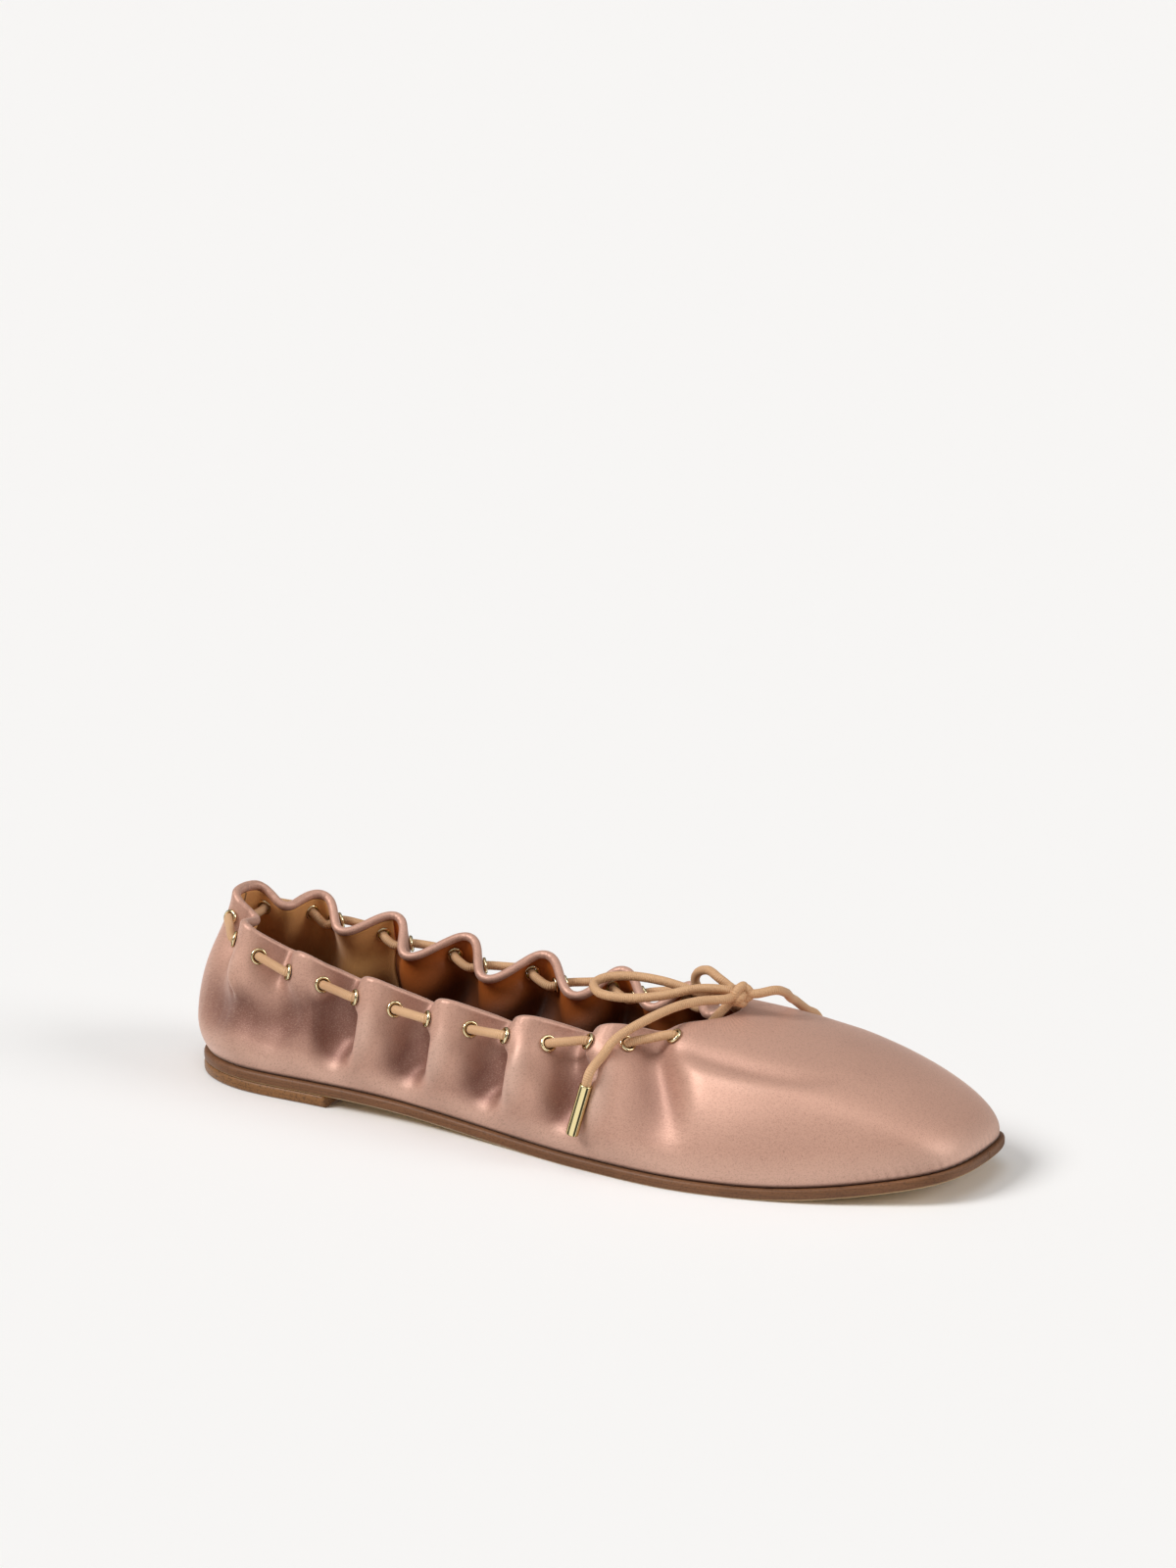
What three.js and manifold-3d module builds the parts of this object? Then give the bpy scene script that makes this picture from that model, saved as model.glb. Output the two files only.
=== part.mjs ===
// A gathered satin ballet flat, the right shoe of a pair, standing empty on its sole.
// Millimetres, +X towards the toe, +Z up.
// The outer side of the foot is at -Y and is called near, the inner side is at +Y and is called far.
import * as THREE from "three";
import { mergeVertices } from "three/addons/utils/BufferGeometryUtils.js";
import Module from "manifold-3d";

// Sole: lengths are measured forwards from the back of the heel seat
const SOLE_THICKNESS = 3.0;
const SOLE_MARGIN = 1.5; // how far the sole stands out past the foot of the upper
const HEEL_LIFT = 3.4;
const HEEL_BREAST = 57;
const TREAD_FLAT_FROM = 138; // the forefoot's flat spot
const TREAD_FLAT_TO = 192;
const TOE_SPRING = 7;
const TOE_END = 248;
const INSOLE_THICKNESS = 1.8;
const INSOLE_CLEARANCE = 0.7; // round the insole, to the inside of the upper

// Upper
const WALL = 1.8;
const RIM_WALL = 2.6; // the folded collar edge
const SEAM_GAP = 0.3;
const STRIP_WIDTH = 5;
const STRIP_THICKNESS = 0.7;
const STRIP_FROM = 0.08; // shares of the wall's height where the strip begins and ends
const STRIP_TO = 0.97;
const WALL_RUN = 45; // length of the wall from foot to collar, under the lace ends

// Gathers, eyelets and lace
const TROUGH_WIDTH = 6.4; // half width of a fold where it has 1/e of its depth
const TROUGH_DIP = 0.55; // how far the collar drops in a fold, as a share of its depth
const TROUGH_FADE = 1.15; // how soon a fold dies away below the collar
const EYELET_SPREAD = 6.8; // from a fold's middle to each of its eyelets, along the collar
const EYELET_BELOW_RIM = 5.2;
const EYELET = { bore: 1.5, outer: 2.5, height: 0.8 };
const EYELET_LIFT = 0.45; // from the wall to the ring
const EYELET_HOLE = 1.45; // through the wall, inside the ring
const LACE_RADIUS = 1.3;
const BAR_GAP = 0.1; // from the end of a bar to the top of its eyelet
const KNOT = { x: 4.2, y: 3.6, z: 3.2 }; // half sizes
const AGLET = { radius: 1.75, length: 15, standOff: 3.3 };

// The bow, in points from the knot's middle.
const LOOPS = {
  near: [
    [-4.5, -2.0, 1.2], [-10, -6.0, 1.6], [-19, -11.6, -0.4], [-28.5, -15.0, -1.4],
    [-36, -15.6, -0.8], [-38.8, -13, 0.6], [-37, -10, 1.8], [-31, -7, 2.4],
    [-22, -4.8, 1.8], [-11, -3.0, -0.4], [-4.8, -1.5, -1.4],
  ],
  far: [
    [-4.5, 2.0, 1.2], [-7.4, 1.8, 3.0], [-11.3, 2.8, 4.4], [-15, 3.8, 3.0], [-16.4, 4.6, 0.2],
    [-15.2, 5.2, -2.6], [-11.8, 5.0, -3.6], [-8, 4.6, -2.4], [-4.7, 3.8, -1.0],
  ],
};

// The lace ends leave the knot by the points in free,
// then lie on the wall, a row for each point of their way.
// along: collar length from the back seam. share: of the wall's height.
// out: from the wall to the lace's middle. lean: how far the aglet's tip lies nearer the heel.
const ENDS = {
  near: {
    free: [[-1.5, -4.5, -0.4], [-7, -11, -0.2], [-12, -18.5, -1.2]],
    way: [
      { along: 155.5, share: 0.86, out: 3.2 },
      { along: 152.5, share: 0.75, out: 1.7 },
    ],
    aglet: { along: 147.5, share: 0.56, lean: 10 },
  },
  far: {
    free: [[4.6, 1.6, 0.4], [8.2, 5.5, 0.9], [8.6, 11, -1.2], [7, 17, -4.4]],
    way: [
      { along: 180, share: 0.79, out: 2.1 },
      { along: 177, share: 0.69, out: 2.2 },
    ],
    aglet: { along: 174, share: 0.55, lean: 4 },
  },
};

// Grid
const AROUND = 124;
const UP = 8;
const FOOT_WEIGHT = 0.35; // how far the foot's length counts beside the collar's in spacing the grid
const CORD_SIDES = 8;

// The box of the finished shoe is centred on the origin
const BOX_CENTRE = { x: 122.74, y: -0.57 };

// Rows as objects, their values named by the columns.
const table = (columns, ...rows) =>
  rows.map((row) => Object.fromEntries(columns.map((column, i) => [column, row[i]])));

// One row for each section of the last, from heel to toe.
// x, near, far: foot of the upper.
// topX, topNear, topFar, topZ: collar, over the ridges between the folds.
// The wall leaves its foot rising by rise and swelling outwards by swell,
// and reaches the collar from reach outside it and drop below it.
const SECTIONS = table(
  ["at", "x", "near", "far", "topX", "topNear", "topFar", "topZ", "rise", "swell", "reach", "drop"],
  ["heel back", 3, 0, 0, 10, 0, 0, 53, 15, 14, 2, 15],
  ["heel turn", 8.5, 15.5, 15, 13, 11, 11, 52, 15, 11, 2, 14],
  ["heel side", 25, 24.5, 23.5, 24, 21, 21, 48.5, 14, 7, 3, 13],
  ["seat", 52, 26, 24, 48, 26.5, 25.5, 44, 13, 5, 3, 12],
  ["waist", 84, 26.5, 20, 77, 29, 26.5, 40.5, 12, 5, 3, 11],
  ["arch", 116, 30, 21, 105, 30, 28, 38.5, 12, 5, 4, 10],
  ["behind ball", 146, 35, 28.5, 131, 28, 28, 38, 12, 4.5, 6, 9],
  ["ball", 175, 37, 35, 153, 21.5, 24, 38.5, 12, 4, 11, 8],
  ["forepart", 202, 32, 35.5, 166.5, 12.5, 17, 39, 12, 3, 21, 6],
  ["toe shoulder", 226, 22.5, 32, 172, 6, 11.5, 39, 12, 2.5, 31, 5],
  ["toe corner", 243, 11, 25.5, 174, 1, 7, 39, 12, 2, 38, 5],
  ["toe tip", 247, -7.5, 7.5, 174.5, -3, 3, 39, 12, 1.5, 41, 5],
);

// One row for each fold, on both sides, from heel to throat.
// at: along the collar from the back seam. depth: how far it is drawn in.
// lean: how far the fold's foot lies nearer the heel than its head.
const FOLDS = [
  { at: 17, depth: 7.4, lean: 1 },
  { at: 41, depth: 10.0, lean: 4 },
  { at: 65.5, depth: 11.5, lean: 7 },
  { at: 90.5, depth: 12.0, lean: 8 },
  { at: 116, depth: 11.5, lean: 9 },
  { at: 141, depth: 10.5, lean: 8 },
  { at: 165, depth: 8.0, lean: 5 },
];

const SATIN = { color: 0xbe9182, roughness: 0.42, metalness: 0 };
const TAN_LEATHER = { color: 0xc8a073, roughness: 0.55, metalness: 0 };
const SOLE_LEATHER = { color: 0xd4b687, roughness: 0.6, metalness: 0 };
const STACKED_LEATHER = { color: 0x8c6437, roughness: 0.6, metalness: 0 };
const SOCK_LEATHER = { color: 0xaa5f2d, roughness: 0.5, metalness: 0 };
const PALE_GOLD = { color: 0xe6d7aa, roughness: 0.18, metalness: 1 };

const wasm = await Module();
wasm.setup();
const shoe = new THREE.Group();
const UPWARDS = new THREE.Vector3(0, 0, 1);

function add(name, geometry, finish) {
  const mesh = new THREE.Mesh(geometry, new THREE.MeshStandardMaterial(finish));
  mesh.name = name;
  shoe.add(mesh);
  return mesh;
}

// A solid from a closed geometry, its shared vertices merged.
function solidOf(geometry) {
  const bare = geometry.clone();
  bare.deleteAttribute("normal");
  bare.deleteAttribute("uv");
  const merged = mergeVertices(bare, 1e-4);
  return new wasm.Manifold(
    new wasm.Mesh({
      numProp: 3,
      vertProperties: merged.getAttribute("position").array,
      triVerts: new Uint32Array(merged.index.array),
    }),
  );
}

function geometryOf(solid) {
  const { vertProperties, triVerts } = solid.getMesh();
  const geometry = new THREE.BufferGeometry();
  geometry.setAttribute("position", new THREE.BufferAttribute(vertProperties, 3));
  geometry.setIndex(new THREE.BufferAttribute(triVerts, 1));
  geometry.computeVertexNormals();
  return geometry;
}

// A closed surface of points[ring][place], joined in both directions like a torus.
function torusGeometry(points) {
  const rings = points.length;
  const places = points[0].length;
  const position = points.flatMap((ring) => ring.flatMap((p) => p.toArray()));
  const index = [];
  for (let i = 0; i < rings; i++) {
    for (let j = 0; j < places; j++) {
      const a = i * places + j;
      const b = ((i + 1) % rings) * places + j;
      const c = ((i + 1) % rings) * places + ((j + 1) % places);
      const d = i * places + ((j + 1) % places);
      index.push(a, b, c, a, c, d);
    }
  }
  const geometry = new THREE.BufferGeometry();
  geometry.setAttribute("position", new THREE.Float32BufferAttribute(position, 3));
  geometry.setIndex(index);
  geometry.computeVertexNormals();
  return geometry;
}

// A closed slab between two equal grids points[row][place]: below and above.
function slabGeometry(below, above) {
  const rows = below.length;
  const places = below[0].length;
  const position = [...below, ...above].flatMap((row) => row.flatMap((p) => p.toArray()));
  const index = [];
  const quad = (a, b, c, d) => index.push(a, b, c, a, c, d);
  const low = (i, j) => i * places + j;
  const high = (i, j) => (rows + i) * places + j;
  for (let i = 0; i < rows - 1; i++) {
    for (let j = 0; j < places - 1; j++) {
      quad(low(i, j), low(i, j + 1), low(i + 1, j + 1), low(i + 1, j));
      quad(high(i, j), high(i + 1, j), high(i + 1, j + 1), high(i, j + 1));
    }
    quad(low(i, 0), low(i + 1, 0), high(i + 1, 0), high(i, 0));
    quad(low(i + 1, places - 1), low(i, places - 1), high(i, places - 1), high(i + 1, places - 1));
  }
  for (let j = 0; j < places - 1; j++) {
    quad(low(0, j + 1), low(0, j), high(0, j), high(0, j + 1));
    quad(low(rows - 1, j), low(rows - 1, j + 1), high(rows - 1, j + 1), high(rows - 1, j));
  }
  const geometry = new THREE.BufferGeometry();
  geometry.setAttribute("position", new THREE.Float32BufferAttribute(position, 3));
  geometry.setIndex(index);
  return geometryOf(solidOf(geometry));
}

const smooth = (f) => f * f * (3 - 2 * f);
const clamp01 = (f) => Math.min(1, Math.max(0, f));

// The tread's height: up on the heel lift, down through the arch, flat under the ball, up to the toe.
function treadHeight(x) {
  if (x < TREAD_FLAT_FROM) {
    return HEEL_LIFT * (1 - smooth(clamp01((x - HEEL_BREAST) / (TREAD_FLAT_FROM - HEEL_BREAST))));
  }
  return TOE_SPRING * Math.pow(Math.max(0, (x - TREAD_FLAT_TO) / (TOE_END - TREAD_FLAT_TO)), 1.8);
}
const soleTop = (x) => treadHeight(x) + SOLE_THICKNESS;

// The sections as a ring of stations: near side from heel to toe, then far side back to the heel.
const LAST = SECTIONS.length - 1;
const station = (row, side) => ({
  x: row.x,
  y: side === "near" ? -row.near : row.far,
  topX: row.topX,
  topY: side === "near" ? -row.topNear : row.topFar,
  topZ: row.topZ,
  rise: row.rise,
  swell: row.swell,
  reach: row.reach,
  drop: row.drop,
});
const STATIONS = [
  ...SECTIONS.map((row) => station(row, "near")),
  ...SECTIONS.slice(1, LAST).reverse().map((row) => station(row, "far")),
];
const RING = STATIONS.length;

// Smooth curve through four neighbouring values, at share f between the second and the third.
function through(a, b, c, d, f) {
  return b + 0.5 * f * (c - a + f * (2 * a - 5 * b + 4 * c - d + f * (3 * (b - c) + d - a)));
}

function stationAt(t) {
  const first = Math.floor(t);
  const near = [-1, 0, 1, 2].map((k) => STATIONS[(first + k + RING) % RING]);
  const mixed = {};
  for (const key of Object.keys(STATIONS[0])) {
    mixed[key] = through(...near.map((s) => s[key]), t - first);
  }
  return mixed;
}

// Level direction that points straight out of the shoe at the foot of the upper.
function outwards(t) {
  const a = stationAt((t - 0.02 + RING) % RING);
  const b = stationAt((t + 0.02) % RING);
  return new THREE.Vector3(b.y - a.y, a.x - b.x, 0).normalize();
}

// Lengths along the collar and the foot of the upper, by small steps of t.
const STEPS_A_STATION = 24;
const TABLE = [{ t: 0, collar: 0, mixed: 0 }];
for (let i = 1; i <= RING * STEPS_A_STATION; i++) {
  const [a, b] = [i - 1, i].map((k) => stationAt((k / STEPS_A_STATION) % RING));
  const collar = Math.hypot(b.topX - a.topX, b.topY - a.topY, b.topZ - a.topZ);
  const foot = Math.hypot(b.x - a.x, b.y - a.y);
  const last = TABLE[i - 1];
  const mixed = last.mixed + collar + FOOT_WEIGHT * foot;
  TABLE.push({ t: i / STEPS_A_STATION, collar: last.collar + collar, mixed });
}
const COLLAR = TABLE[TABLE.length - 1].collar;

// Value of one column of the table where another has a given value.
function lookUp(from, value, to) {
  const i = Math.max(1, TABLE.findIndex((row) => row[from] >= value));
  const [a, b] = [TABLE[i - 1], TABLE[i]];
  return a[to] + ((value - a[from]) / (b[from] - a[from])) * (b[to] - a[to]);
}
const collarAt = (t) => lookUp("t", t, "collar");
const tAtCollar = (length) => lookUp("collar", ((length % COLLAR) + COLLAR) % COLLAR, "t");

// How far the wall is drawn in by the folds, at a place along the collar and a share of the height.
function drawnIn(length, v) {
  let depth = 0;
  for (const fold of FOLDS) {
    for (const side of [1, -1]) {
      const middle = side * (fold.at - fold.lean * (1 - v));
      const off = length - middle - COLLAR * Math.round((length - middle) / COLLAR);
      depth += fold.depth * Math.exp(-((off / TROUGH_WIDTH) ** 2));
    }
  }
  return depth * Math.pow(v, TROUGH_FADE);
}

// The upper's outer surface: t runs round the shoe, v from the foot (0) to the collar (1).
function surface(t, v) {
  const turn = ((t % RING) + RING) % RING;
  const s = stationAt(turn);
  const out = outwards(turn);
  const foot = new THREE.Vector3(s.x, s.y, soleTop(s.x) + SEAM_GAP);
  const collar = new THREE.Vector3(s.topX, s.topY, s.topZ);
  const low = foot.clone().addScaledVector(out, s.swell).addScaledVector(UPWARDS, s.rise);
  const high = collar.clone().addScaledVector(out, s.reach).addScaledVector(UPWARDS, -s.drop);
  const wall = new THREE.CubicBezierCurve3(foot, low, high, collar).getPoint(v);
  const depth = drawnIn(collarAt(turn), v);
  return wall.addScaledVector(out, -depth).addScaledVector(UPWARDS, -depth * TROUGH_DIP);
}

// Direction straight out of the upper's surface.
function normalAt(t, v) {
  const low = Math.max(0, v - 0.01);
  const high = Math.min(1, v + 0.01);
  const along = surface(t + 0.02, v).sub(surface(t - 0.02, v));
  const up = surface(t, high).sub(surface(t, low));
  return along.cross(up).normalize();
}

const offset = (t, v, out) => surface(t, v).addScaledVector(normalAt(t, v), out);

// The wall's closed section at t: up the outside, over the collar's round edge and down the inside.
function wallSection(t) {
  const shares = Array.from({ length: UP + 1 }, (_, j) => j / UP);
  const thickness = (v) => (v > 0.85 ? RIM_WALL : WALL);
  const outer = shares.map((v) => surface(t, v));
  const inner = shares.map((v) => offset(t, v, -thickness(v))).reverse();
  const rim = offset(t, 1, -RIM_WALL / 2);
  const upTangent = surface(t, 1).sub(surface(t, 0.97)).normalize();
  rim.addScaledVector(upTangent, RIM_WALL / 2);
  const foot = outer[0].z;
  inner[inner.length - 1].setZ(foot);
  return [...outer, rim, ...inner];
}

function upperGeometry() {
  const whole = TABLE[TABLE.length - 1].mixed;
  const places = Array.from({ length: AROUND }, (_, i) => lookUp("mixed", (whole * i) / AROUND, "t"));
  const rings = places.map(wallSection);
  return torusGeometry(rings);
}

// Where the wall lies a given length below the collar.
function shareBelowRim(t, length) {
  const rim = surface(t, 1);
  let v = 1;
  while (surface(t, v).distanceTo(rim) < length) v -= 0.01;
  return v;
}

// A thin layer laid on the wall, from a length along the collar back to a smaller one,
// between two shares of the height.
function layerGeometry(fromLength, toLength, fromShare, toShare, thickness, across, up) {
  const grid = (out) =>
    Array.from({ length: up + 1 }, (_, i) =>
      Array.from({ length: across + 1 }, (_, j) => {
        const t = tAtCollar(fromLength + ((toLength - fromLength) * j) / across);
        const v = fromShare + ((toShare - fromShare) * i) / up;
        return offset(t, v, out);
      }),
    );
  return slabGeometry(grid(SEAM_GAP), grid(SEAM_GAP + thickness));
}

// A flat piece cut to the foot of the upper, moved out by margin, between two heights that follow x.
const FOOT_SHARES = [0, 0.2, 0.5, 0.8, 1];
const FOOT_ROWS = Array.from({ length: LAST * 3 + 1 }, (_, i) => i / 3);
function footEdge(u, side, margin) {
  const t = side === "near" ? u : (RING - u) % RING;
  const s = stationAt(t);
  return new THREE.Vector3(s.x, s.y, 0).addScaledVector(outwards(t), margin);
}

// The row whose section lies at x, in the heel half of the shoe.
function rowAt(x) {
  let u = 0;
  while (stationAt(u).x < x) u += 0.005;
  return u;
}

function footGeometry(margin, lowAt, highAt, rows) {
  const grid = (heightAt) =>
    rows.map((u) => {
      const near = footEdge(u, "near", margin);
      const far = footEdge(u, "far", margin);
      return FOOT_SHARES.map((share) => {
        const p = near.clone().lerp(far, share);
        return p.setZ(heightAt(p.x));
      });
    });
  return slabGeometry(grid(lowAt), grid(highAt));
}

add("outsole", footGeometry(SOLE_MARGIN, treadHeight, soleTop, FOOT_ROWS), SOLE_LEATHER);
add(
  "insole",
  footGeometry(
    -WALL - INSOLE_CLEARANCE,
    (x) => soleTop(x) + SEAM_GAP,
    (x) => soleTop(x) + SEAM_GAP + INSOLE_THICKNESS,
    FOOT_ROWS,
  ),
  SOCK_LEATHER,
);
// The lift ends at the breast, straight across the sole.
const liftRows = [...FOOT_ROWS.filter((u) => stationAt(u).x < HEEL_BREAST - 2), rowAt(HEEL_BREAST)];
const liftTop = () => HEEL_LIFT - SEAM_GAP;
add("heel_lift", footGeometry(SOLE_MARGIN, () => 0, liftTop, liftRows), STACKED_LEATHER);

// A pair of eyelets on the flanks of each fold.
function eyeletPlaces(side) {
  return FOLDS.flatMap((fold, i) =>
    ["a", "b"].map((end) => {
      const along = fold.at + (end === "a" ? -EYELET_SPREAD : EYELET_SPREAD);
      const t = tAtCollar(side === "near" ? along : -along);
      const v = shareBelowRim(t, EYELET_BELOW_RIM);
      return { name: `${side}_${i + 1}${end}`, foot: surface(t, v), axis: normalAt(t, v) };
    }),
  );
}
const eyelets = ["near", "far"].flatMap(eyeletPlaces);
const eyeletNamed = (name) => eyelets.find((eyelet) => eyelet.name === name);

function turnedTo(geometry, axis, foot, lift) {
  const turn = new THREE.Quaternion().setFromUnitVectors(new THREE.Vector3(0, 1, 0), axis);
  const place = foot.clone().addScaledVector(axis, lift);
  return geometry.clone().applyQuaternion(turn).translate(place.x, place.y, place.z);
}

const EYELET_SIDES = 8;
const ringProfile = [
  [EYELET.bore, 0],
  [EYELET.outer, 0],
  [EYELET.outer - 0.3, EYELET.height],
  [EYELET.bore, EYELET.height],
  [EYELET.bore, 0],
].map(([r, h]) => new THREE.Vector2(r, h));
const ring = geometryOf(solidOf(new THREE.LatheGeometry(ringProfile, EYELET_SIDES)));
const HOLE_SIDES = 6;
const HOLE_REACH = 7;
const drill = new THREE.CylinderGeometry(EYELET_HOLE, EYELET_HOLE, HOLE_REACH, HOLE_SIDES);

let wall = solidOf(upperGeometry());
for (const { name, foot, axis } of eyelets) {
  wall = wall.subtract(solidOf(turnedTo(drill, axis, foot, 0)));
  add(`eyelet_${name}`, turnedTo(ring, axis, foot, EYELET_LIFT), PALE_GOLD);
}
add("upper", geometryOf(wall), SATIN);

const stripReach = STRIP_WIDTH / 2;
add(
  "back_strip",
  layerGeometry(stripReach, -stripReach, STRIP_FROM, STRIP_TO, STRIP_THICKNESS, 2, 8),
  SATIN,
);

// A round cord along a smooth curve.
const cordSection = new THREE.Shape(
  Array.from({ length: CORD_SIDES }, (_, i) => {
    const angle = (2 * Math.PI * i) / CORD_SIDES;
    return new THREE.Vector2(LACE_RADIUS * Math.cos(angle), LACE_RADIUS * Math.sin(angle));
  }),
);
function cordGeometry(points, steps) {
  const extrudePath = new THREE.CatmullRomCurve3(points, false, "centripetal");
  const tube = new THREE.ExtrudeGeometry(cordSection, { steps, extrudePath, bevelEnabled: false });
  return geometryOf(solidOf(tube));
}

// How far from an eyelet's middle a cord at this angle to it has to stop to stay clear of the ring.
function stopShort(axis, direction) {
  const cosine = axis.dot(direction);
  const sine = Math.sqrt(1 - cosine * cosine);
  return (BAR_GAP + LACE_RADIUS * sine) / cosine;
}

// The lace crosses each fold on the outside, from one of its eyelets to the other.
const ringTop = ({ foot, axis }) => foot.clone().addScaledVector(axis, EYELET_LIFT + EYELET.height);
for (const side of ["near", "far"]) {
  FOLDS.forEach((_, i) => {
    const [a, b] = ["a", "b"].map((end) => eyeletNamed(`${side}_${i + 1}${end}`));
    const [from, to] = [ringTop(a), ringTop(b)];
    const direction = to.clone().sub(from).normalize();
    from.addScaledVector(direction, stopShort(a.axis, direction));
    to.addScaledVector(direction, -stopShort(b.axis, direction.clone().negate()));
    const middle = from.clone().lerp(to, 0.5);
    add(`lace_bar_${side}_${i + 1}`, cordGeometry([from, middle, to], 2), TAN_LEATHER);
  });
}

// The bow: knot over the throat, a loop and an end on each side, and an aglet on each end.
const throatRim = surface(LAST, 1);
const knotHeight = RIM_WALL / 2 + 2 * SEAM_GAP + KNOT.z;
const knotMiddle = throatRim.clone().addScaledVector(UPWARDS, knotHeight);
const fromKnot = (point) => knotMiddle.clone().add(new THREE.Vector3(...point));
const onWall = (side, { along, share, out }) =>
  offset(tAtCollar(side === "near" ? along : -along), share, out);

const knot = new THREE.SphereGeometry(1, 12, 8).scale(KNOT.x, KNOT.y, KNOT.z);
add("lace_knot", knot.translate(...knotMiddle.toArray()), TAN_LEATHER);
for (const side of ["near", "far"]) {
  const loop = LOOPS[side].map(fromKnot);
  add(`lace_loop_${side}`, cordGeometry(loop, 2 * (loop.length - 1)), TAN_LEATHER);

  const end = ENDS[side];
  const { along, share, lean } = end.aglet;
  const top = onWall(side, { along, share, out: AGLET.standOff });
  const tip = { along: along - lean, share: share - AGLET.length / WALL_RUN, out: AGLET.standOff };
  const below = onWall(side, tip);
  const axis = below.sub(top).normalize();
  const above = (length) => top.clone().addScaledVector(axis, -length);
  const way = [...end.free.map(fromKnot), ...end.way.map((place) => onWall(side, place))];
  way.push(above(3 * LACE_RADIUS), above(SEAM_GAP));
  add(`lace_end_${side}`, cordGeometry(way, 2 * way.length), TAN_LEATHER);
  const tube = new THREE.CylinderGeometry(AGLET.radius, AGLET.radius, AGLET.length, CORD_SIDES);
  add(`aglet_${side}`, turnedTo(tube, axis, top, AGLET.length / 2), PALE_GOLD);
}

shoe.position.set(-BOX_CENTRE.x, -BOX_CENTRE.y, 0);

export default shoe;
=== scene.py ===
"""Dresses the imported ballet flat: satin upper, lining, sole, eyelets and lace.

Shapes are worked out in millimetres in the last's own frame, in which x runs forwards from the back of the
heel, y runs from the outer side of the foot (near, -y) to the inner side (far, +y) and z runs up.
They become metres in the row's frame when a mesh is made.
"""

import logging
import math
from collections.abc import Callable
from dataclasses import dataclass, field
from enum import Enum

import bpy
import numpy as np
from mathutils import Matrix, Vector


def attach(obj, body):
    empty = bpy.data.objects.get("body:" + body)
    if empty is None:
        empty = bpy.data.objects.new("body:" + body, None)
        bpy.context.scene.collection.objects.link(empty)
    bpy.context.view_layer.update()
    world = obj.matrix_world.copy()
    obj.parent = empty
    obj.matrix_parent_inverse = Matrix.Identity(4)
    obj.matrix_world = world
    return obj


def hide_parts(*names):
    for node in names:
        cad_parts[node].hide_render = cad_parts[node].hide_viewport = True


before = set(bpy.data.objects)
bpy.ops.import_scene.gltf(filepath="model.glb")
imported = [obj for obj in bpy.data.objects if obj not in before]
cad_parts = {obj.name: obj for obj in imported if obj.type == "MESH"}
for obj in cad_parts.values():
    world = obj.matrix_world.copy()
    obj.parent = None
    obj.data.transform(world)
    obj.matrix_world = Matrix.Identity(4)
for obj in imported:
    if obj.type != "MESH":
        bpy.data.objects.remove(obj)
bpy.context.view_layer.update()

LOG = logging.getLogger("ballet_flat")
MM = 0.001
# Origin of the row's frame, given in the last's frame.
BOX_CENTRE = np.array([122.74, -0.57, 0.0])
FORWARDS = np.array([1.0, 0.0, 0.0])
UP = np.array([0.0, 0.0, 1.0])
BODY = "root"
SEAM_GAP = 0.3
# Small steps round and up the wall, over which its slope is taken.
T_STEP = 0.02
V_STEP = 0.01
# Points of a smooth path between two of the points that it passes through.
PATH_STEPS = 24
# How upright an axis is when it can no longer be crossed with the vertical.
UPRIGHT = 0.9
HALF_ROUND = np.linspace(0, np.pi, 11)

Rgb = tuple[int, int, int]
# Where a mask is 0, where it is highest, and its highest value.
Band = tuple[float, float, float]


class Side(Enum):
    """The two sides of the shoe. The value is the sign of lengths along the collar from the back seam."""

    NEAR = 1
    FAR = -1

    @property
    def label(self) -> str:
        """The side's name in node names."""
        return self.name.lower()


class Slot(Enum):
    """The record's material slots."""

    SATIN = "satin"
    SOLE = "sole_leather"
    STACK = "stacked_leather"
    SOCK = "sock_leather"
    LACE = "lace_leather"
    GOLD = "pale_gold"


def unit(vectors: np.ndarray) -> np.ndarray:
    """Scales vectors to length one.

    Args:
        vectors: Array whose last axis holds the components.

    Returns:
        Array of the same shape.
    """
    return vectors / np.maximum(np.linalg.norm(vectors, axis=-1, keepdims=True), 1e-12)


def smooth_step(low: float, high: float, value: np.ndarray) -> np.ndarray:
    """Rises smoothly from 0 at low to 1 at high.

    Args:
        low: Where the rise begins.
        high: Where it ends.
        value: Places to work it out for.

    Returns:
        Shares from 0 to 1.
    """
    share = np.clip((value - low) / (high - low), 0.0, 1.0)
    return share * share * (3.0 - 2.0 * share)


@dataclass(frozen=True)
class Fold:
    """One gather of the collar, the same on both sides.

    Attributes:
        at: Where it is along the collar from the back seam.
        depth: How far the wall is drawn in.
        lean: How far its foot lies nearer the heel than its head.
    """

    at: float
    depth: float
    lean: float


# x, near, far of the foot; x, near, far, z of the collar; rise, swell, reach, drop of the wall between them
SECTIONS = np.array([
    [3, 0, 0, 10, 0, 0, 53, 15, 14, 2, 15],
    [8.5, 15.5, 15, 13, 11, 11, 52, 15, 11, 2, 14],
    [25, 24.5, 23.5, 24, 21, 21, 48.5, 14, 7, 3, 13],
    [52, 26, 24, 48, 26.5, 25.5, 44, 13, 5, 3, 12],
    [84, 26.5, 20, 77, 29, 26.5, 40.5, 12, 5, 3, 11],
    [116, 30, 21, 105, 30, 28, 38.5, 12, 5, 4, 10],
    [146, 35, 28.5, 131, 28, 28, 38, 12, 4.5, 6, 9],
    [175, 37, 35, 153, 21.5, 24, 38.5, 12, 4, 11, 8],
    [202, 32, 35.5, 166.5, 12.5, 17, 39, 12, 3, 21, 6],
    [226, 22.5, 32, 172, 6, 11.5, 39, 12, 2.5, 31, 5],
    [243, 11, 25.5, 174, 1, 7, 39, 12, 2, 38, 5],
    [247, -7.5, 7.5, 174.5, -3, 3, 39, 12, 1.5, 41, 5],
])
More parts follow.
